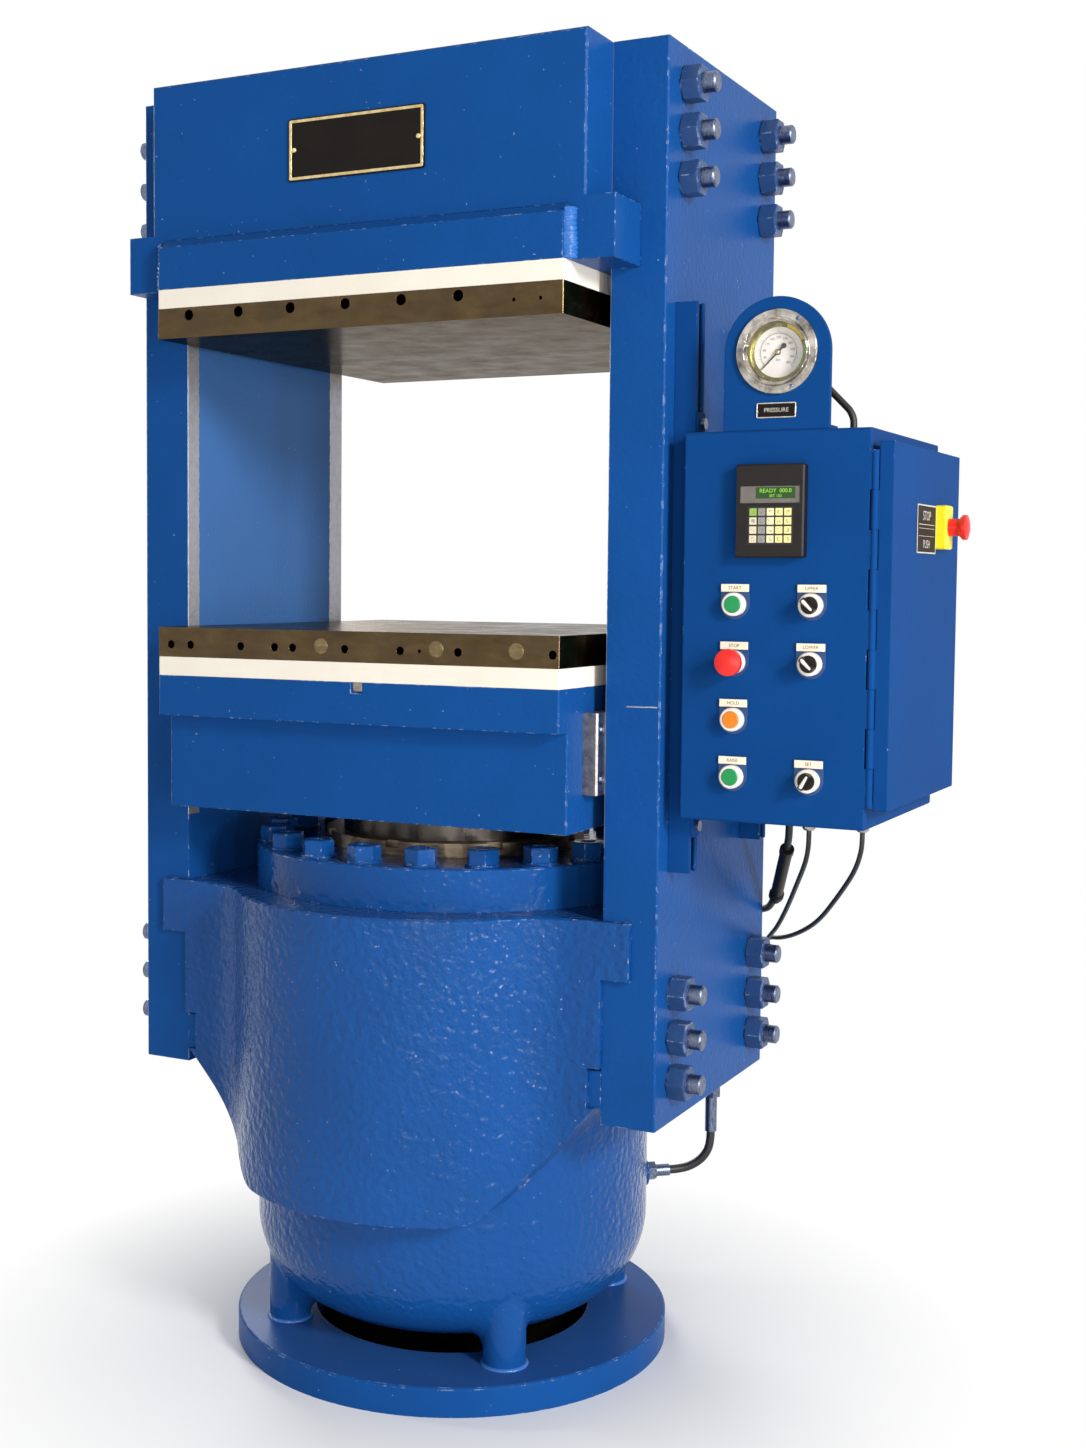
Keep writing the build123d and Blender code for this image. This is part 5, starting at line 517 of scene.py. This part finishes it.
# %% Cables and hose
def cable(name, node, points_mm, diameter_mm):
    """A round jacket along a quadratic NURBS spline whose control points are the route's corners."""
    line = bpy.data.curves.new(name, "CURVE")
    line.dimensions = "3D"
    line.resolution_u = 10
    line.bevel_depth = diameter_mm / 2000
    line.bevel_resolution = 5
    line.use_fill_caps = True
    spline = line.splines.new("NURBS")
    spline.points.add(len(points_mm) - 1)
    spline.points.foreach_set("co", np.c_[np.array(points_mm) / 1000, np.ones(len(points_mm))].ravel())
    spline.order_u = 3
    spline.use_endpoint_u = True
    line.materials.append(rubber)
    piece = bpy.data.objects.new(name, line)
    scene.collection.objects.link(piece)
    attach(piece, "press_frame")
    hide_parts(node)
    return piece


supply = cable("supply_jacket", "supply_cable", [
    (605, 80, 984), (605, 80, 958), (598, 97, 926), (522, 256, 786), (484, 286, 772), (445, 293, 754),
    (428, 294, 724), (428, 294, 700)], 13)
valve = cable("valve_jacket", "valve_cable", [
    (704, -130, 984), (704, -130, 966), (701, -124, 951), (694, -110, 933), (680, -83, 911),
    (657, -39, 880), (631, 15, 847), (599, 85, 811), (560, 165, 769), (536, 213, 748), (513, 256, 728),
    (491, 279, 707), (469, 287, 688), (445, 287, 688)], 8)
switch = cable("switch_jacket", "switch_cable", [
    (784, -108, 984), (784, -108, 966), (780, -102, 948), (770, -88, 925), (753, -65, 900),
    (715, -15, 855), (663, 65, 802), (603, 150, 762), (545, 230, 734), (507, 277, 725), (489, 294, 708),
    (468, 303, 690), (445, 303, 690)], 8)
oil = cable("oil_jacket", "oil_hose", [
    (390, 305, 338), (390, 305, 314), (381, 301, 290), (362, 295, 272), (339.3, 284.7, 262),
    (320.2, 268.7, 262)], 16)
print("cords:", supply.name, valve.name, switch.name, oil.name)

# %% [markdown]
# ## Surfaces from numbers
# The small pieces are grids of points: a profile turned about an axis, or a profile carried round a
# path. One function makes the quads between neighbouring points and puts them into a mesh.

# %% Surface helpers
# each has the directions of a face's width and height and, last, the one that it looks in
FRONT = np.array(((1.0, 0, 0), (0, 0, 1.0), (0, -1.0, 0)))
RIGHT = np.array(((0, 1.0, 0), (0, 0, 1.0), (1.0, 0, 0)))
LEFT = np.array(((0, -1.0, 0), (0, 0, 1.0), (-1.0, 0, 0)))
DOUBLES, SHORT, FLAT = 2e-6, 1e-7, 1e-11  # metres, metres, square metres


def skin(name, grids, finish, body, smooth=True):
    """Each grid is an array of rows by columns by 3, in millimetres. Quads join neighbours, and where a
    grid's last column repeats its first, or a row shrinks to a point, merging closes it."""
    corners, quads, start = [], [], 0
    for grid in grids:
        rows, columns = grid.shape[:2]
        index = start + np.arange(rows * columns).reshape(rows, columns)
        quads.append(np.stack((index[:-1, :-1], index[:-1, 1:], index[1:, 1:], index[1:, :-1]),
                              axis=-1).reshape(-1, 4))
        corners.append(grid.reshape(-1, 3))
        start += rows * columns
    mesh = bpy.data.meshes.new(name)
    mesh.from_pydata((np.concatenate(corners) / 1000).tolist(), [], np.concatenate(quads).tolist())
    return settle(name, mesh, finish, body, smooth)


def settle(name, mesh, finish, body, smooth):
    """Merges doubles, drops the faces that shrank away, shades, and puts the piece on its body."""
    work = bmesh.new()
    work.from_mesh(mesh)
    bmesh.ops.remove_doubles(work, verts=work.verts, dist=DOUBLES)
    bmesh.ops.dissolve_degenerate(work, edges=work.edges, dist=SHORT)
    flat = [face for face in work.faces if face.calc_area() < FLAT]
    bmesh.ops.delete(work, geom=flat, context="FACES")
    work.to_mesh(mesh)
    work.free()
    mesh.materials.append(finish)
    mesh.polygons.foreach_set("use_smooth", [smooth] * len(mesh.polygons))
    piece = bpy.data.objects.new(name, mesh)
    scene.collection.objects.link(piece)
    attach(piece, body)
    return piece


def turned(profile, centre, facing, count=32):
    """A profile of (radius, height) pairs turned about the axis that facing's last row points along:
    a point is the centre plus radius times the turning direction plus height times the axis."""
    profile = np.array(profile, float)
    angle = np.linspace(0, 2 * pi, count + 1)
    ring = np.cos(angle)[:, None] * facing[0] + np.sin(angle)[:, None] * facing[1]
    reach, height = profile[:, 0, None, None], profile[:, 1, None, None]
    return np.array(centre, float) + reach * ring + height * facing[2]


def border(width, height, corner, profile, centre, facing, steps=8):
    """A profile of (inset, height) pairs carried round a rounded rectangle: at each angle the outline's
    point is a corner's centre plus the corner radius less the inset, along the outward direction."""
    angle = np.concatenate([np.linspace(q, q + 0.5, steps) * pi for q in (0, 0.5, 1.0, 1.5)])
    angle = np.append(angle, 0.0)
    way = np.stack((np.cos(angle), np.sin(angle)), axis=1)
    side = np.sign(np.repeat([[1, 1], [-1, 1], [-1, -1], [1, -1]], steps, axis=0))
    side = np.concatenate((side, side[:1]))
    middle = side * (np.array((width, height)) / 2 - corner)
    profile = np.array(profile, float)
    reach = np.maximum(corner - profile[:, 0], 0.0)
    sunk = np.maximum(profile[:, 0] - corner, 0.0)
    flat = middle[None] - side[None] * sunk[:, None, None] + reach[:, None, None] * way[None]
    return np.array(centre, float) + flat[..., :1] * facing[0] + flat[..., 1:] * facing[1] \
        + profile[:, 1, None, None] * facing[2]


def plate(width, height, corner, thick, centre, facing):
    """A thin plate with softened edges, closed over its face and open at its back."""
    soft = min(0.4, thick / 2)
    return border(width, height, corner, [(0, 0), (0, thick - soft), (soft, thick),
                                          (min(width, height) / 2, thick)], centre, facing)


def frame_line(width, height, corner, band, low, high, centre, facing):
    """A raised band round a plate's edge: up, over and down again."""
    return border(width, height, corner, [(0, low), (0, high), (band, high), (band, low)], centre, facing)


print("surface helpers ready")

# %% [markdown]
# ## Slotted and socket screws
# The plates are held by small round-head screws, the guides by socket screws. A round head is a dome on
# a polar grid with a groove pressed in across it; a socket is a hexagon, whose radius at an angle is the
# flat's distance over the cosine of the angle from the flat.

# %% Screws
def round_head(radius, rise, turn, centre, facing):
    """Dome height rise times the root of one less the squared share of the radius, less a groove where
    the point is nearer than about a sixth of the radius to a line at the angle turn."""
    share = np.linspace(1.0, 0.0, 15)[:, None]
    angle = np.linspace(0, 2 * pi, 49)[None]
    dome = rise * np.sqrt(np.clip(1 - share**2, 0, 1))
    groove = np.abs(share * np.sin(angle - turn)) < 0.16
    height = np.where(groove & (share < 0.93), np.maximum(dome - 0.45 * rise, 0.1), dome)
    flat = radius * share[..., None] * (np.cos(angle)[..., None] * facing[0]
                                        + np.sin(angle)[..., None] * facing[1])
    return np.array(centre, float) + flat + height[..., None] * facing[2]


def socket_head(radius, height, across, depth, centre, facing):
    """A cylinder head with a softened rim and a hexagon socket sunk in it."""
    angle = np.linspace(0, 2 * pi, 61)
    hexagon = across / 2 / np.cos((angle + pi / 6) % (pi / 3) - pi / 6)
    profile = [(radius, 0), (radius, height - 1), (radius - 1, height)]
    outer = [np.full_like(angle, r) for r, _ in profile] + [hexagon, hexagon, 0 * angle]
    levels = [h for _, h in profile] + [height, height - depth, height - depth]
    reach, level = np.array(outer), np.array(levels)[:, None] + 0 * angle
    return np.array(centre, float) + (reach * np.cos(angle))[..., None] * facing[0] \
        + (reach * np.sin(angle))[..., None] * facing[1] + level[..., None] * facing[2]


# millimetres, as for every piece from here on
NAMEPLATE = np.array((0.0, -363.0, 2078.0))
NAMEPLATE_SCREW_X = 117
GAUGE = np.array((679.0, -249.0, 1723.0))
BEZEL_RISE, BEZEL_SCREW_CIRCLE = 13, 58.3
GIB_FACE_X, GIB_SCREW_Y, GIB_SCREW_HEIGHTS = 397, 275, (1062, 1141)
plate_screws = skin("nameplate_screws", [
    round_head(4.2, 2.2, turn, NAMEPLATE + (side * NAMEPLATE_SCREW_X, 0, 0), FRONT)
    for side, turn in ((-1, 0.6), (1, 2.0))], gold, "press_frame")
bezel_screws = skin("bezel_screws", [
    round_head(3.4, 1.8, turn, GAUGE + BEZEL_RISE * FRONT[2] + BEZEL_SCREW_CIRCLE * (
        cos(radians(at)) * FRONT[0] + sin(radians(at)) * FRONT[1]), FRONT)
    for at, turn in ((55, 0.3), (175, 1.2), (295, 2.3))], stud_steel, "press_frame")
gib_screws = skin("gib_screws", [
    socket_head(8.6, 9, 9, 5, (side * GIB_FACE_X, y, z), RIGHT if side > 0 else LEFT)
    for side in (-1, 1) for y in (-GIB_SCREW_Y, GIB_SCREW_Y) for z in GIB_SCREW_HEIGHTS],
    stud_steel, "moving_table")
print("screws:", plate_screws.name, bezel_screws.name, gib_screws.name)

# %% [markdown]
# ## Nameplate, labels and legends
# The crown carries a black plate with a gold line round it, the gauge a small black label with a bright
# edge, the door a dark film beside the stop, and each operator a cream card. They could be painted on,
# but a raised edge catches the light, so each is a thin plate with a band carried round it.

# %% Nameplate, labels and legends
plate_line = skin("nameplate_line", [
    frame_line(252, 97, 3, 4.6, -0.3, 0.8, NAMEPLATE, FRONT)], gold, "press_frame",
    False)
LABEL, LABEL_SIZE, LABEL_THICK = np.array((680, -257, 1635.5)), (62, 23, 2), 1.4
gauge_label = skin("gauge_label", [plate(*LABEL_SIZE, LABEL_THICK, LABEL, FRONT)], plate_black,
                   "press_frame", False)
label_edge = skin("gauge_label_edge", [
    frame_line(*LABEL_SIZE, 1.7, 0, 1.8, LABEL, FRONT)], silver, "press_frame", False)
FILM_PLACE, FILM_SIZE, FILM_THICK = np.array((860.0, -53.0, 1461.0)), (118, 76, 2), 1.0
FILM_RULES = ((7, 1.6), (1, 1.2), (-11, 1.2))  # height over the film's middle, and width
stop_film = skin("stop_film", [plate(*FILM_SIZE, FILM_THICK, FILM_PLACE, RIGHT)], dark_film, "door",
                 False)
film_edge = skin("stop_film_edge", [
    frame_line(*FILM_SIZE, 2.2, 0, 1.3, FILM_PLACE, RIGHT)], pale_ink, "door", False)
film_rules = skin("stop_film_rules", [
    plate(98, wide, 0.5, 1.15, FILM_PLACE + (0, 0, rise), RIGHT) for rise, wide in FILM_RULES],
    pale_ink, "door", False)
print("plates:", plate_line.name, gauge_label.name, label_edge.name, stop_film.name, film_edge.name,
      film_rules.name)

# %% Legend cards, and the bolster's and platen's small marks
BUTTON_X, KNOB_X = 621, 742
ROWS = (1342, 1253.7, 1165.4, 1077.1)
OPERATORS = {(BUTTON_X, ROWS[0]): "START", (BUTTON_X, ROWS[1]): "STOP", (BUTTON_X, ROWS[2]): "HOLD",
             (BUTTON_X, ROWS[3]): "RAISE", (KNOB_X, ROWS[0]): "UPPER", (KNOB_X, ROWS[1]): "LOWER",
             (KNOB_X, ROWS[3]): "SET"}
LEGEND_FRONT, LEGEND_RISE, CARD_THICK = -263, 25, 0.7
BOLSTER_TAB = (17, -375, 1200)
PLATEN_FRONT, PLUG_Z, PLUGS = -381, 1265.5, (-51, 165, 307)
PLUG_PROFILE = [(13, 0), (12.4, 0.25), (9, 0.3), (0, 0.3)]
notch_tab = skin("bolster_tab", [plate(20, 15, 1, 1.5, BOLSTER_TAB, FRONT)], guide_steel, "moving_table",
                 False)
cards = skin("legend_cards", [
    plate(44.6, 11.8, 0.8, CARD_THICK, (x, LEGEND_FRONT, z + LEGEND_RISE), FRONT) for x, z in OPERATORS],
    card, "press_frame", False)
plugs = skin("platen_plugs", [turned(PLUG_PROFILE, (x, PLATEN_FRONT, PLUG_Z), FRONT, 48) for x in PLUGS],
             plug_steel, "moving_table")
print("cards and marks:", notch_tab.name, cards.name, plugs.name)

# %% [markdown]
# ## Plain words and numbers
# Only words that any such machine could carry are drawn: what a button does, the numbers round a dial,
# a line of figures in the window. Text becomes a mesh first, and its place goes into the mesh.

# %% Words and numbers
SIZE_PER_CAPITAL = 1.38  # the font's size over the height of its capitals


def words(name, lines, finish, body, facing, lift=0.05):
    """Each line is (text, centre in mm, height in mm). The glyphs' flat points are carried by facing's
    two rows to the centre, and lifted a little along its third."""
    parts = []
    for text, centre, height in lines:
        letters = bpy.data.curves.new(name, "FONT")
        letters.body, letters.size = text, height * SIZE_PER_CAPITAL
        letters.align_x, letters.align_y = "CENTER", "CENTER"
        letters.resolution_u = 3
        holder = bpy.data.objects.new(name, letters)
        scene.collection.objects.link(holder)
        flat = bpy.data.meshes.new_from_object(holder)
        bpy.data.objects.remove(holder)
        spots = np.zeros(len(flat.vertices) * 3)
        flat.vertices.foreach_get("co", spots)
        spots = spots.reshape(-1, 3)
        flat_place = spots[:, :1] * facing[0] + spots[:, 1:2] * facing[1]
        placed = np.array(centre, float) + flat_place + lift * facing[2]
        parts.append((placed, [list(face.vertices) for face in flat.polygons]))
    faces, start = [], 0
    for placed, polygons in parts:
        faces += [[start + v for v in polygon] for polygon in polygons]
        start += len(placed)
    mesh = bpy.data.meshes.new(name)
    mesh.from_pydata((np.concatenate([placed for placed, _ in parts]) / 1000).tolist(), [], faces)
    return settle(name, mesh, finish, body, False)


legend_words = words("legend_words", [
    (text, (x, LEGEND_FRONT - CARD_THICK, z + LEGEND_RISE), 5.2) for (x, z), text in OPERATORS.items()],
    ink, "press_frame", FRONT)
label_words = words("gauge_label_words", [("PRESSURE", LABEL + LABEL_THICK * FRONT[2], 6.5)], pale_ink,
                    "press_frame", FRONT)
film_words = words("stop_film_words", [
    (text, FILM_PLACE + (FILM_THICK, 0, rise), height)
    for text, rise, height in (("STOP", 20, 15), ("PUSH", -24, 13))],
    pale_ink, "door", RIGHT)
WINDOW_FRONT, WINDOW_X = -276.5, 687
figures = words("window_figures", [
    (text, (WINDOW_X, WINDOW_FRONT, z), height)
    for text, z, height in (("READY  000.0", 1513.5, 6.2), ("SET 120", 1505.8, 4.2))],
    lit_green, "press_frame", FRONT)
print("words:", legend_words.name, label_words.name, film_words.name, figures.name)

# %% [markdown]
# ## The gauge's dial
# A printed card lies in a brass cove: a thin arc with long and short marks and numbers inside it. On the
# cove a yellow band lies high on the right and a green one lower down. Marks are quads at equal angles on
# the arc from lower left to lower right.

# %% Dial
def arc_band(inner, outer, start, end, low, high, count=60):
    """Two rows of points at two radii and two heights, between two angles in degrees."""
    angle = np.radians(np.linspace(start, end, count))
    ring = np.cos(angle)[:, None] * FRONT[0] + np.sin(angle)[:, None] * FRONT[1]
    return np.stack((GAUGE + outer * ring + high * FRONT[2], GAUGE + inner * ring + low * FRONT[2]))


ZERO_AT, FULL_AT = 225, -45  # degrees
MARK_COUNT, LONG_EVERY, MARK_HALF_WIDTH, PRINT_LIFT = 51, 5, 0.5, 0.12
ARC_INNER, ARC_OUTER, SHORT_OUTER, LONG_OUTER, NUMBER_CIRCLE = 27.9, 28.5, 31, 33, 22.4
NUMBER_COUNT, NUMBER_STEP = 11, 40
BAND_INNER, BAND_OUTER, BAND_LOW, BAND_HIGH = 39.2, 44.2, 0.7, 3.4
HUB_PROFILE = [(3.6, 2.0), (3.4, 4.6), (2.2, 5.4), (0, 5.6)]
COVE_PROFILE = [(45.4, 7.9), (44.6, 3.6), (42.5, 1.2), (38, 0.2)]
marks = []
for k, at in enumerate(np.linspace(ZERO_AT, FULL_AT, MARK_COUNT)):
    outer = LONG_OUTER if k % LONG_EVERY == 0 else SHORT_OUTER
    marks.append(arc_band(ARC_OUTER, outer, at - MARK_HALF_WIDTH, at + MARK_HALF_WIDTH, PRINT_LIFT,
                          PRINT_LIFT, 2))
dial_marks = skin("dial_marks", marks + [
    arc_band(ARC_INNER, ARC_OUTER, FULL_AT, ZERO_AT, PRINT_LIFT, PRINT_LIFT)], ink, "press_frame",
    False)
yellow_band = skin("dial_yellow_band", [arc_band(BAND_INNER, BAND_OUTER, 24, 70, BAND_LOW, BAND_HIGH)],
                   yellow_ink, "press_frame", False)
green_band = skin("dial_green_band", [arc_band(BAND_INNER, BAND_OUTER, -36, 14, BAND_LOW, BAND_HIGH)],
                  green_ink, "press_frame", False)
scale = [(str(k * NUMBER_STEP), GAUGE + NUMBER_CIRCLE * (cos(at) * FRONT[0] + sin(at) * FRONT[1]), 3.8)
         for k, at in enumerate(np.radians(np.linspace(ZERO_AT, FULL_AT, NUMBER_COUNT)))]
numbers = words("dial_numbers", scale + [("bar", GAUGE - 11 * FRONT[1], 4.0)], ink, "press_frame",
                FRONT, 0.15)
hub = skin("needle_hub", [turned(HUB_PROFILE, GAUGE, FRONT)], gold, "gauge_needle")
olive_ring = skin("bezel_lining", [turned(COVE_PROFILE, GAUGE, FRONT, 96)], olive, "press_frame")
print("dial:", dial_marks.name, yellow_band.name, green_band.name, numbers.name, hub.name, olive_ring.name)

# %% [markdown]
# ## White pointers
# Each turning knob has a white bar let into its grip, broad at the end that points. It is a thin plate
# whose outline narrows along its length.

# %% Pointers
def pointer(length, wide, narrow, centre, turn):
    """A tapered plate: across the grid the outline's half width falls in a straight line from the
    pointing end to the tail, rounded at both; rows are the foot, the rim and the middle line."""
    along = np.linspace(0, 1, 25)
    half = (wide + (narrow - wide) * along) / 2 * np.sqrt(np.clip(1 - np.abs(2 * along - 1) ** 8, 0, 1))
    way = cos(turn) * FRONT[0] + sin(turn) * FRONT[1]
    side = np.cross(FRONT[2], way)
    spine = np.array(centre, float) + (length * (0.5 - along))[:, None] * way
    rows = [spine + (s * half)[:, None] * side + h * FRONT[2] for s, h in
            ((1, 0), (1, 0.5), (0, 0.7), (-1, 0.5), (-1, 0))]
    return np.stack(rows)


KNOB_FRONT = -288.5
for body, z, turn in (("upper_selector", ROWS[0], 135), ("lower_selector", ROWS[1], 135),
                      ("setting_knob", ROWS[3], 240)):
    bar = skin(body + "_pointer", [pointer(22, 6.4, 3.6, (KNOB_X, KNOB_FRONT, z), radians(turn))],
               white_plastic, body)
    print("pointer:", bar.name)

# %% [markdown]
# ## Weld beads
# The feet and the front bar are welded on, and the beads show as rippled rolls. A bead could be a plain
# fillet in the solids, but its ripples are what the eye knows it by. So it is a quarter round carried along
# its seam, with its radius rippled every few millimetres.

# %% Welds
BEAD_STEP, DRIFT_MM, SWELL_MM = 1.2, 145, 195


def bead(path, out, lift, radius=4.0, ripple_mm=5.0):
    """A quarter round along a path, from the first wall's direction to the second's. Its radius is the
    given one times 0.86, plus a sixth of a rectified sine for the ripples and a slow sine for the swells.
    Whole numbers of both fit the path, so that a round seam closes."""
    path = np.array(path, float)
    length = np.concatenate(([0], np.cumsum(np.linalg.norm(np.diff(path, axis=0), axis=1))))
    fine = np.linspace(0, length[-1], int(length[-1] / BEAD_STEP) + 2)
    line = np.stack([np.interp(fine, length, path[:, k]) for k in range(3)], axis=1)
    outward = np.broadcast_to(out, path.shape)
    first = np.stack([np.interp(fine, length, outward[:, k]) for k in range(3)], axis=1)
    second = np.broadcast_to(np.array(lift, float), line.shape)
    share = fine / length[-1]
    ripples, drifts, swells = (max(1, round(length[-1] / mm)) for mm in (ripple_mm, DRIFT_MM, SWELL_MM))
    wave = np.abs(np.sin(pi * ripples * share + 0.35 * np.sin(2 * pi * drifts * share)))
    size = radius * (0.86 + 0.16 * wave + 0.07 * np.sin(2 * pi * swells * share))
    swing = np.linspace(0, pi / 2, 7)[:, None, None]
    return line + size[None, :, None] * (np.cos(swing) * first + np.sin(swing) * second)


RING_TOP, FOOT_CIRCLE, FOOT_RADIUS, FOOT_BEAD = 50.0, 305, 36.6, 5.0
BAR_END_X, BAR_BACK, BAR_LOW, BAR_HIGH = 378.5, -360, 1865.5, 1944
BAR_BEAD, BAR_RIPPLE = 15.5, 7.0
circle = np.linspace(0, 2 * pi, 73)
around = np.stack((np.cos(circle), np.sin(circle), 0 * circle), axis=1)
feet = []
for at in np.radians((45, 135, 225, 315)):
    foot = np.array((FOOT_CIRCLE * cos(at), FOOT_CIRCLE * sin(at), RING_TOP))
    feet.append(bead(foot + FOOT_RADIUS * around, around, (0, 0, 1), FOOT_BEAD))
bar_ends = [bead([(side * BAR_END_X, BAR_BACK, BAR_LOW), (side * BAR_END_X, BAR_BACK, BAR_HIGH)],
                 (side, 0, 0), (0, -1, 0), BAR_BEAD, BAR_RIPPLE)[::side] for side in (1, -1)]
weld_beads = skin("weld_beads", feet + bar_ends, weld_enamel, "press_frame")
print("welds:", len(weld_beads.data.polygons), "faces")

# %% [markdown]
# ## Floor, background and light
# The press stands on a pale floor before white. The floor keeps a soft shadow near the base and fades to
# plain white further off. The light is a soft box high on the right, a small one below it, weaker ones to
# the left and behind, a pale sky, and a few small bulbs in front. The small lamps stand low, where the
# bumps of the cast skin turn them into glints.

# %% World
SKY_LIGHT, SKY_SEEN = 0.22, 1.0


def white_seen(tree):
    """One where a camera, glossy or transmitted ray looks, and nought for light that falls on things."""
    path = add(tree, "LightPath")
    seen = add(tree, "Math", {0: path.outputs["Is Camera Ray"], 1: path.outputs["Is Glossy Ray"]},
               operation="MAXIMUM")
    return add(tree, "Math", {0: seen.outputs[0], 1: path.outputs["Is Transmission Ray"]},
               operation="MAXIMUM")


world = bpy.data.worlds.new("white_studio")
world.use_nodes = True
tree = world.node_tree
tree.nodes.clear()
level = add(tree, "MapRange", {"Value": white_seen(tree).outputs[0], "To Min": SKY_LIGHT,
                               "To Max": SKY_SEEN})
sky = add(tree, "Background", {"Color": (1.0, 1.0, 1.0, 1.0), "Strength": level.outputs[0]})
add(tree, "OutputWorld", {"Surface": sky.outputs[0]})
scene.world = world
print("world:", world.name)

# %% Floor
PAINTED_SHADE_EDGE, PAINTED_SHADE_END = 0.3, 0.31  # metres from the ram's axis, under the base ring
FADE_START, FADE_END, FLOOR_RADIUS = 0.4, 0.95, 14
floor_finish = bpy.data.materials.new("pale_painted_floor")
floor_finish.use_nodes = True
tree = floor_finish.node_tree
tree.nodes.clear()
matt = add(tree, "BsdfDiffuse")
glow = add(tree, "Emission", {"Color": (1.0, 1.0, 1.0, 1.0), "Strength": 1.0})
reach = add(tree, "VectorMath", {0: add(tree, "TexCoord").outputs["Object"]}, operation="LENGTH")
# painted shade: inside the base ring the floor is painted dark, standing in for the shade under the press
painted_shade_inside = add(tree, "MapRange", {"Value": reach.outputs["Value"], "From Min": PAINTED_SHADE_EDGE,
                              "From Max": PAINTED_SHADE_END})
ground = add(tree, "Mix", {0: painted_shade_inside.outputs[0], 6: colour("#15110e"), 7: colour("#f4f4f4")},
             data_type="RGBA")
tree.links.new(ground.outputs[2], matt.inputs["Color"])
away = add(tree, "MapRange", {"Value": reach.outputs["Value"], "From Min": FADE_START,
                              "From Max": FADE_END})
fade = add(tree, "Math", {0: away.outputs[0], 1: white_seen(tree).outputs[0]}, operation="MULTIPLY")
mixed = add(tree, "MixShader", {0: fade.outputs[0], 1: matt.outputs[0], 2: glow.outputs[0]})
add(tree, "OutputMaterial", {"Surface": mixed.outputs[0]})
radius = np.linspace(0, FLOOR_RADIUS, 3)[:, None, None]
turn = np.linspace(0, 2 * pi, 97)
disc = radius * np.stack((np.cos(turn), np.sin(turn), 0 * turn), axis=1)[None]
floor_mesh = bpy.data.meshes.new("floor")
index = np.arange(disc.shape[0] * disc.shape[1]).reshape(disc.shape[:2])
floor_mesh.from_pydata(disc.reshape(-1, 3).tolist(), [], np.stack(
    (index[:-1, :-1], index[1:, :-1], index[1:, 1:], index[:-1, 1:]), axis=-1).reshape(-1, 4).tolist())
floor_mesh.materials.append(floor_finish)
floor = bpy.data.objects.new("floor", floor_mesh)
scene.collection.objects.link(floor)
print("floor:", floor.name, "radius in m:", FLOOR_RADIUS)

# %% Lamps
BULB_DISTANCE, BULB_AIM, BULB_SIZE, BULB_WATTS = 5.5, (0, 0, 0.8), 0.16, 20  # metres and watts
BULBS = ((6, 1.6), (20, 0.9), (32, 1.4), (44, 0.8), (56, 1.3), (70, 0.9))  # degrees right of front, height


def soft_box(name, place, aim, size, watts):
    """A square lamp at a place, turned to look at a point."""
    lamp = bpy.data.lights.new(name, "AREA")
    lamp.size, lamp.energy = size, watts
    box = bpy.data.objects.new(name, lamp)
    box.matrix_world = Matrix.Translation(place) @ (
        Vector(aim) - Vector(place)).to_track_quat("-Z", "Y").to_matrix().to_4x4()
    scene.collection.objects.link(box)


soft_box("right_box", (4.7, -2.6, 3.1), (0.2, 0, 1.0), 0.9, 195)
soft_box("glint_box", (5.0, -2.6, 1.8), (0.2, 0, 1.0), 0.5, 65)
soft_box("left_box", (-4.5, -0.9, 1.8), (0, 0, 0.9), 0.5, 40)
soft_box("rear_box", (-3.4, 3.6, 3.4), (0, 0, 1.2), 2.0, 150)
for k, (turn, height) in enumerate(BULBS):
    soft_box(f"bulb_{k}", (BULB_DISTANCE * sin(radians(turn)), -BULB_DISTANCE * cos(radians(turn)), height),
             BULB_AIM, BULB_SIZE, BULB_WATTS)
print("lamps: four soft boxes and", len(BULBS), "bulbs")
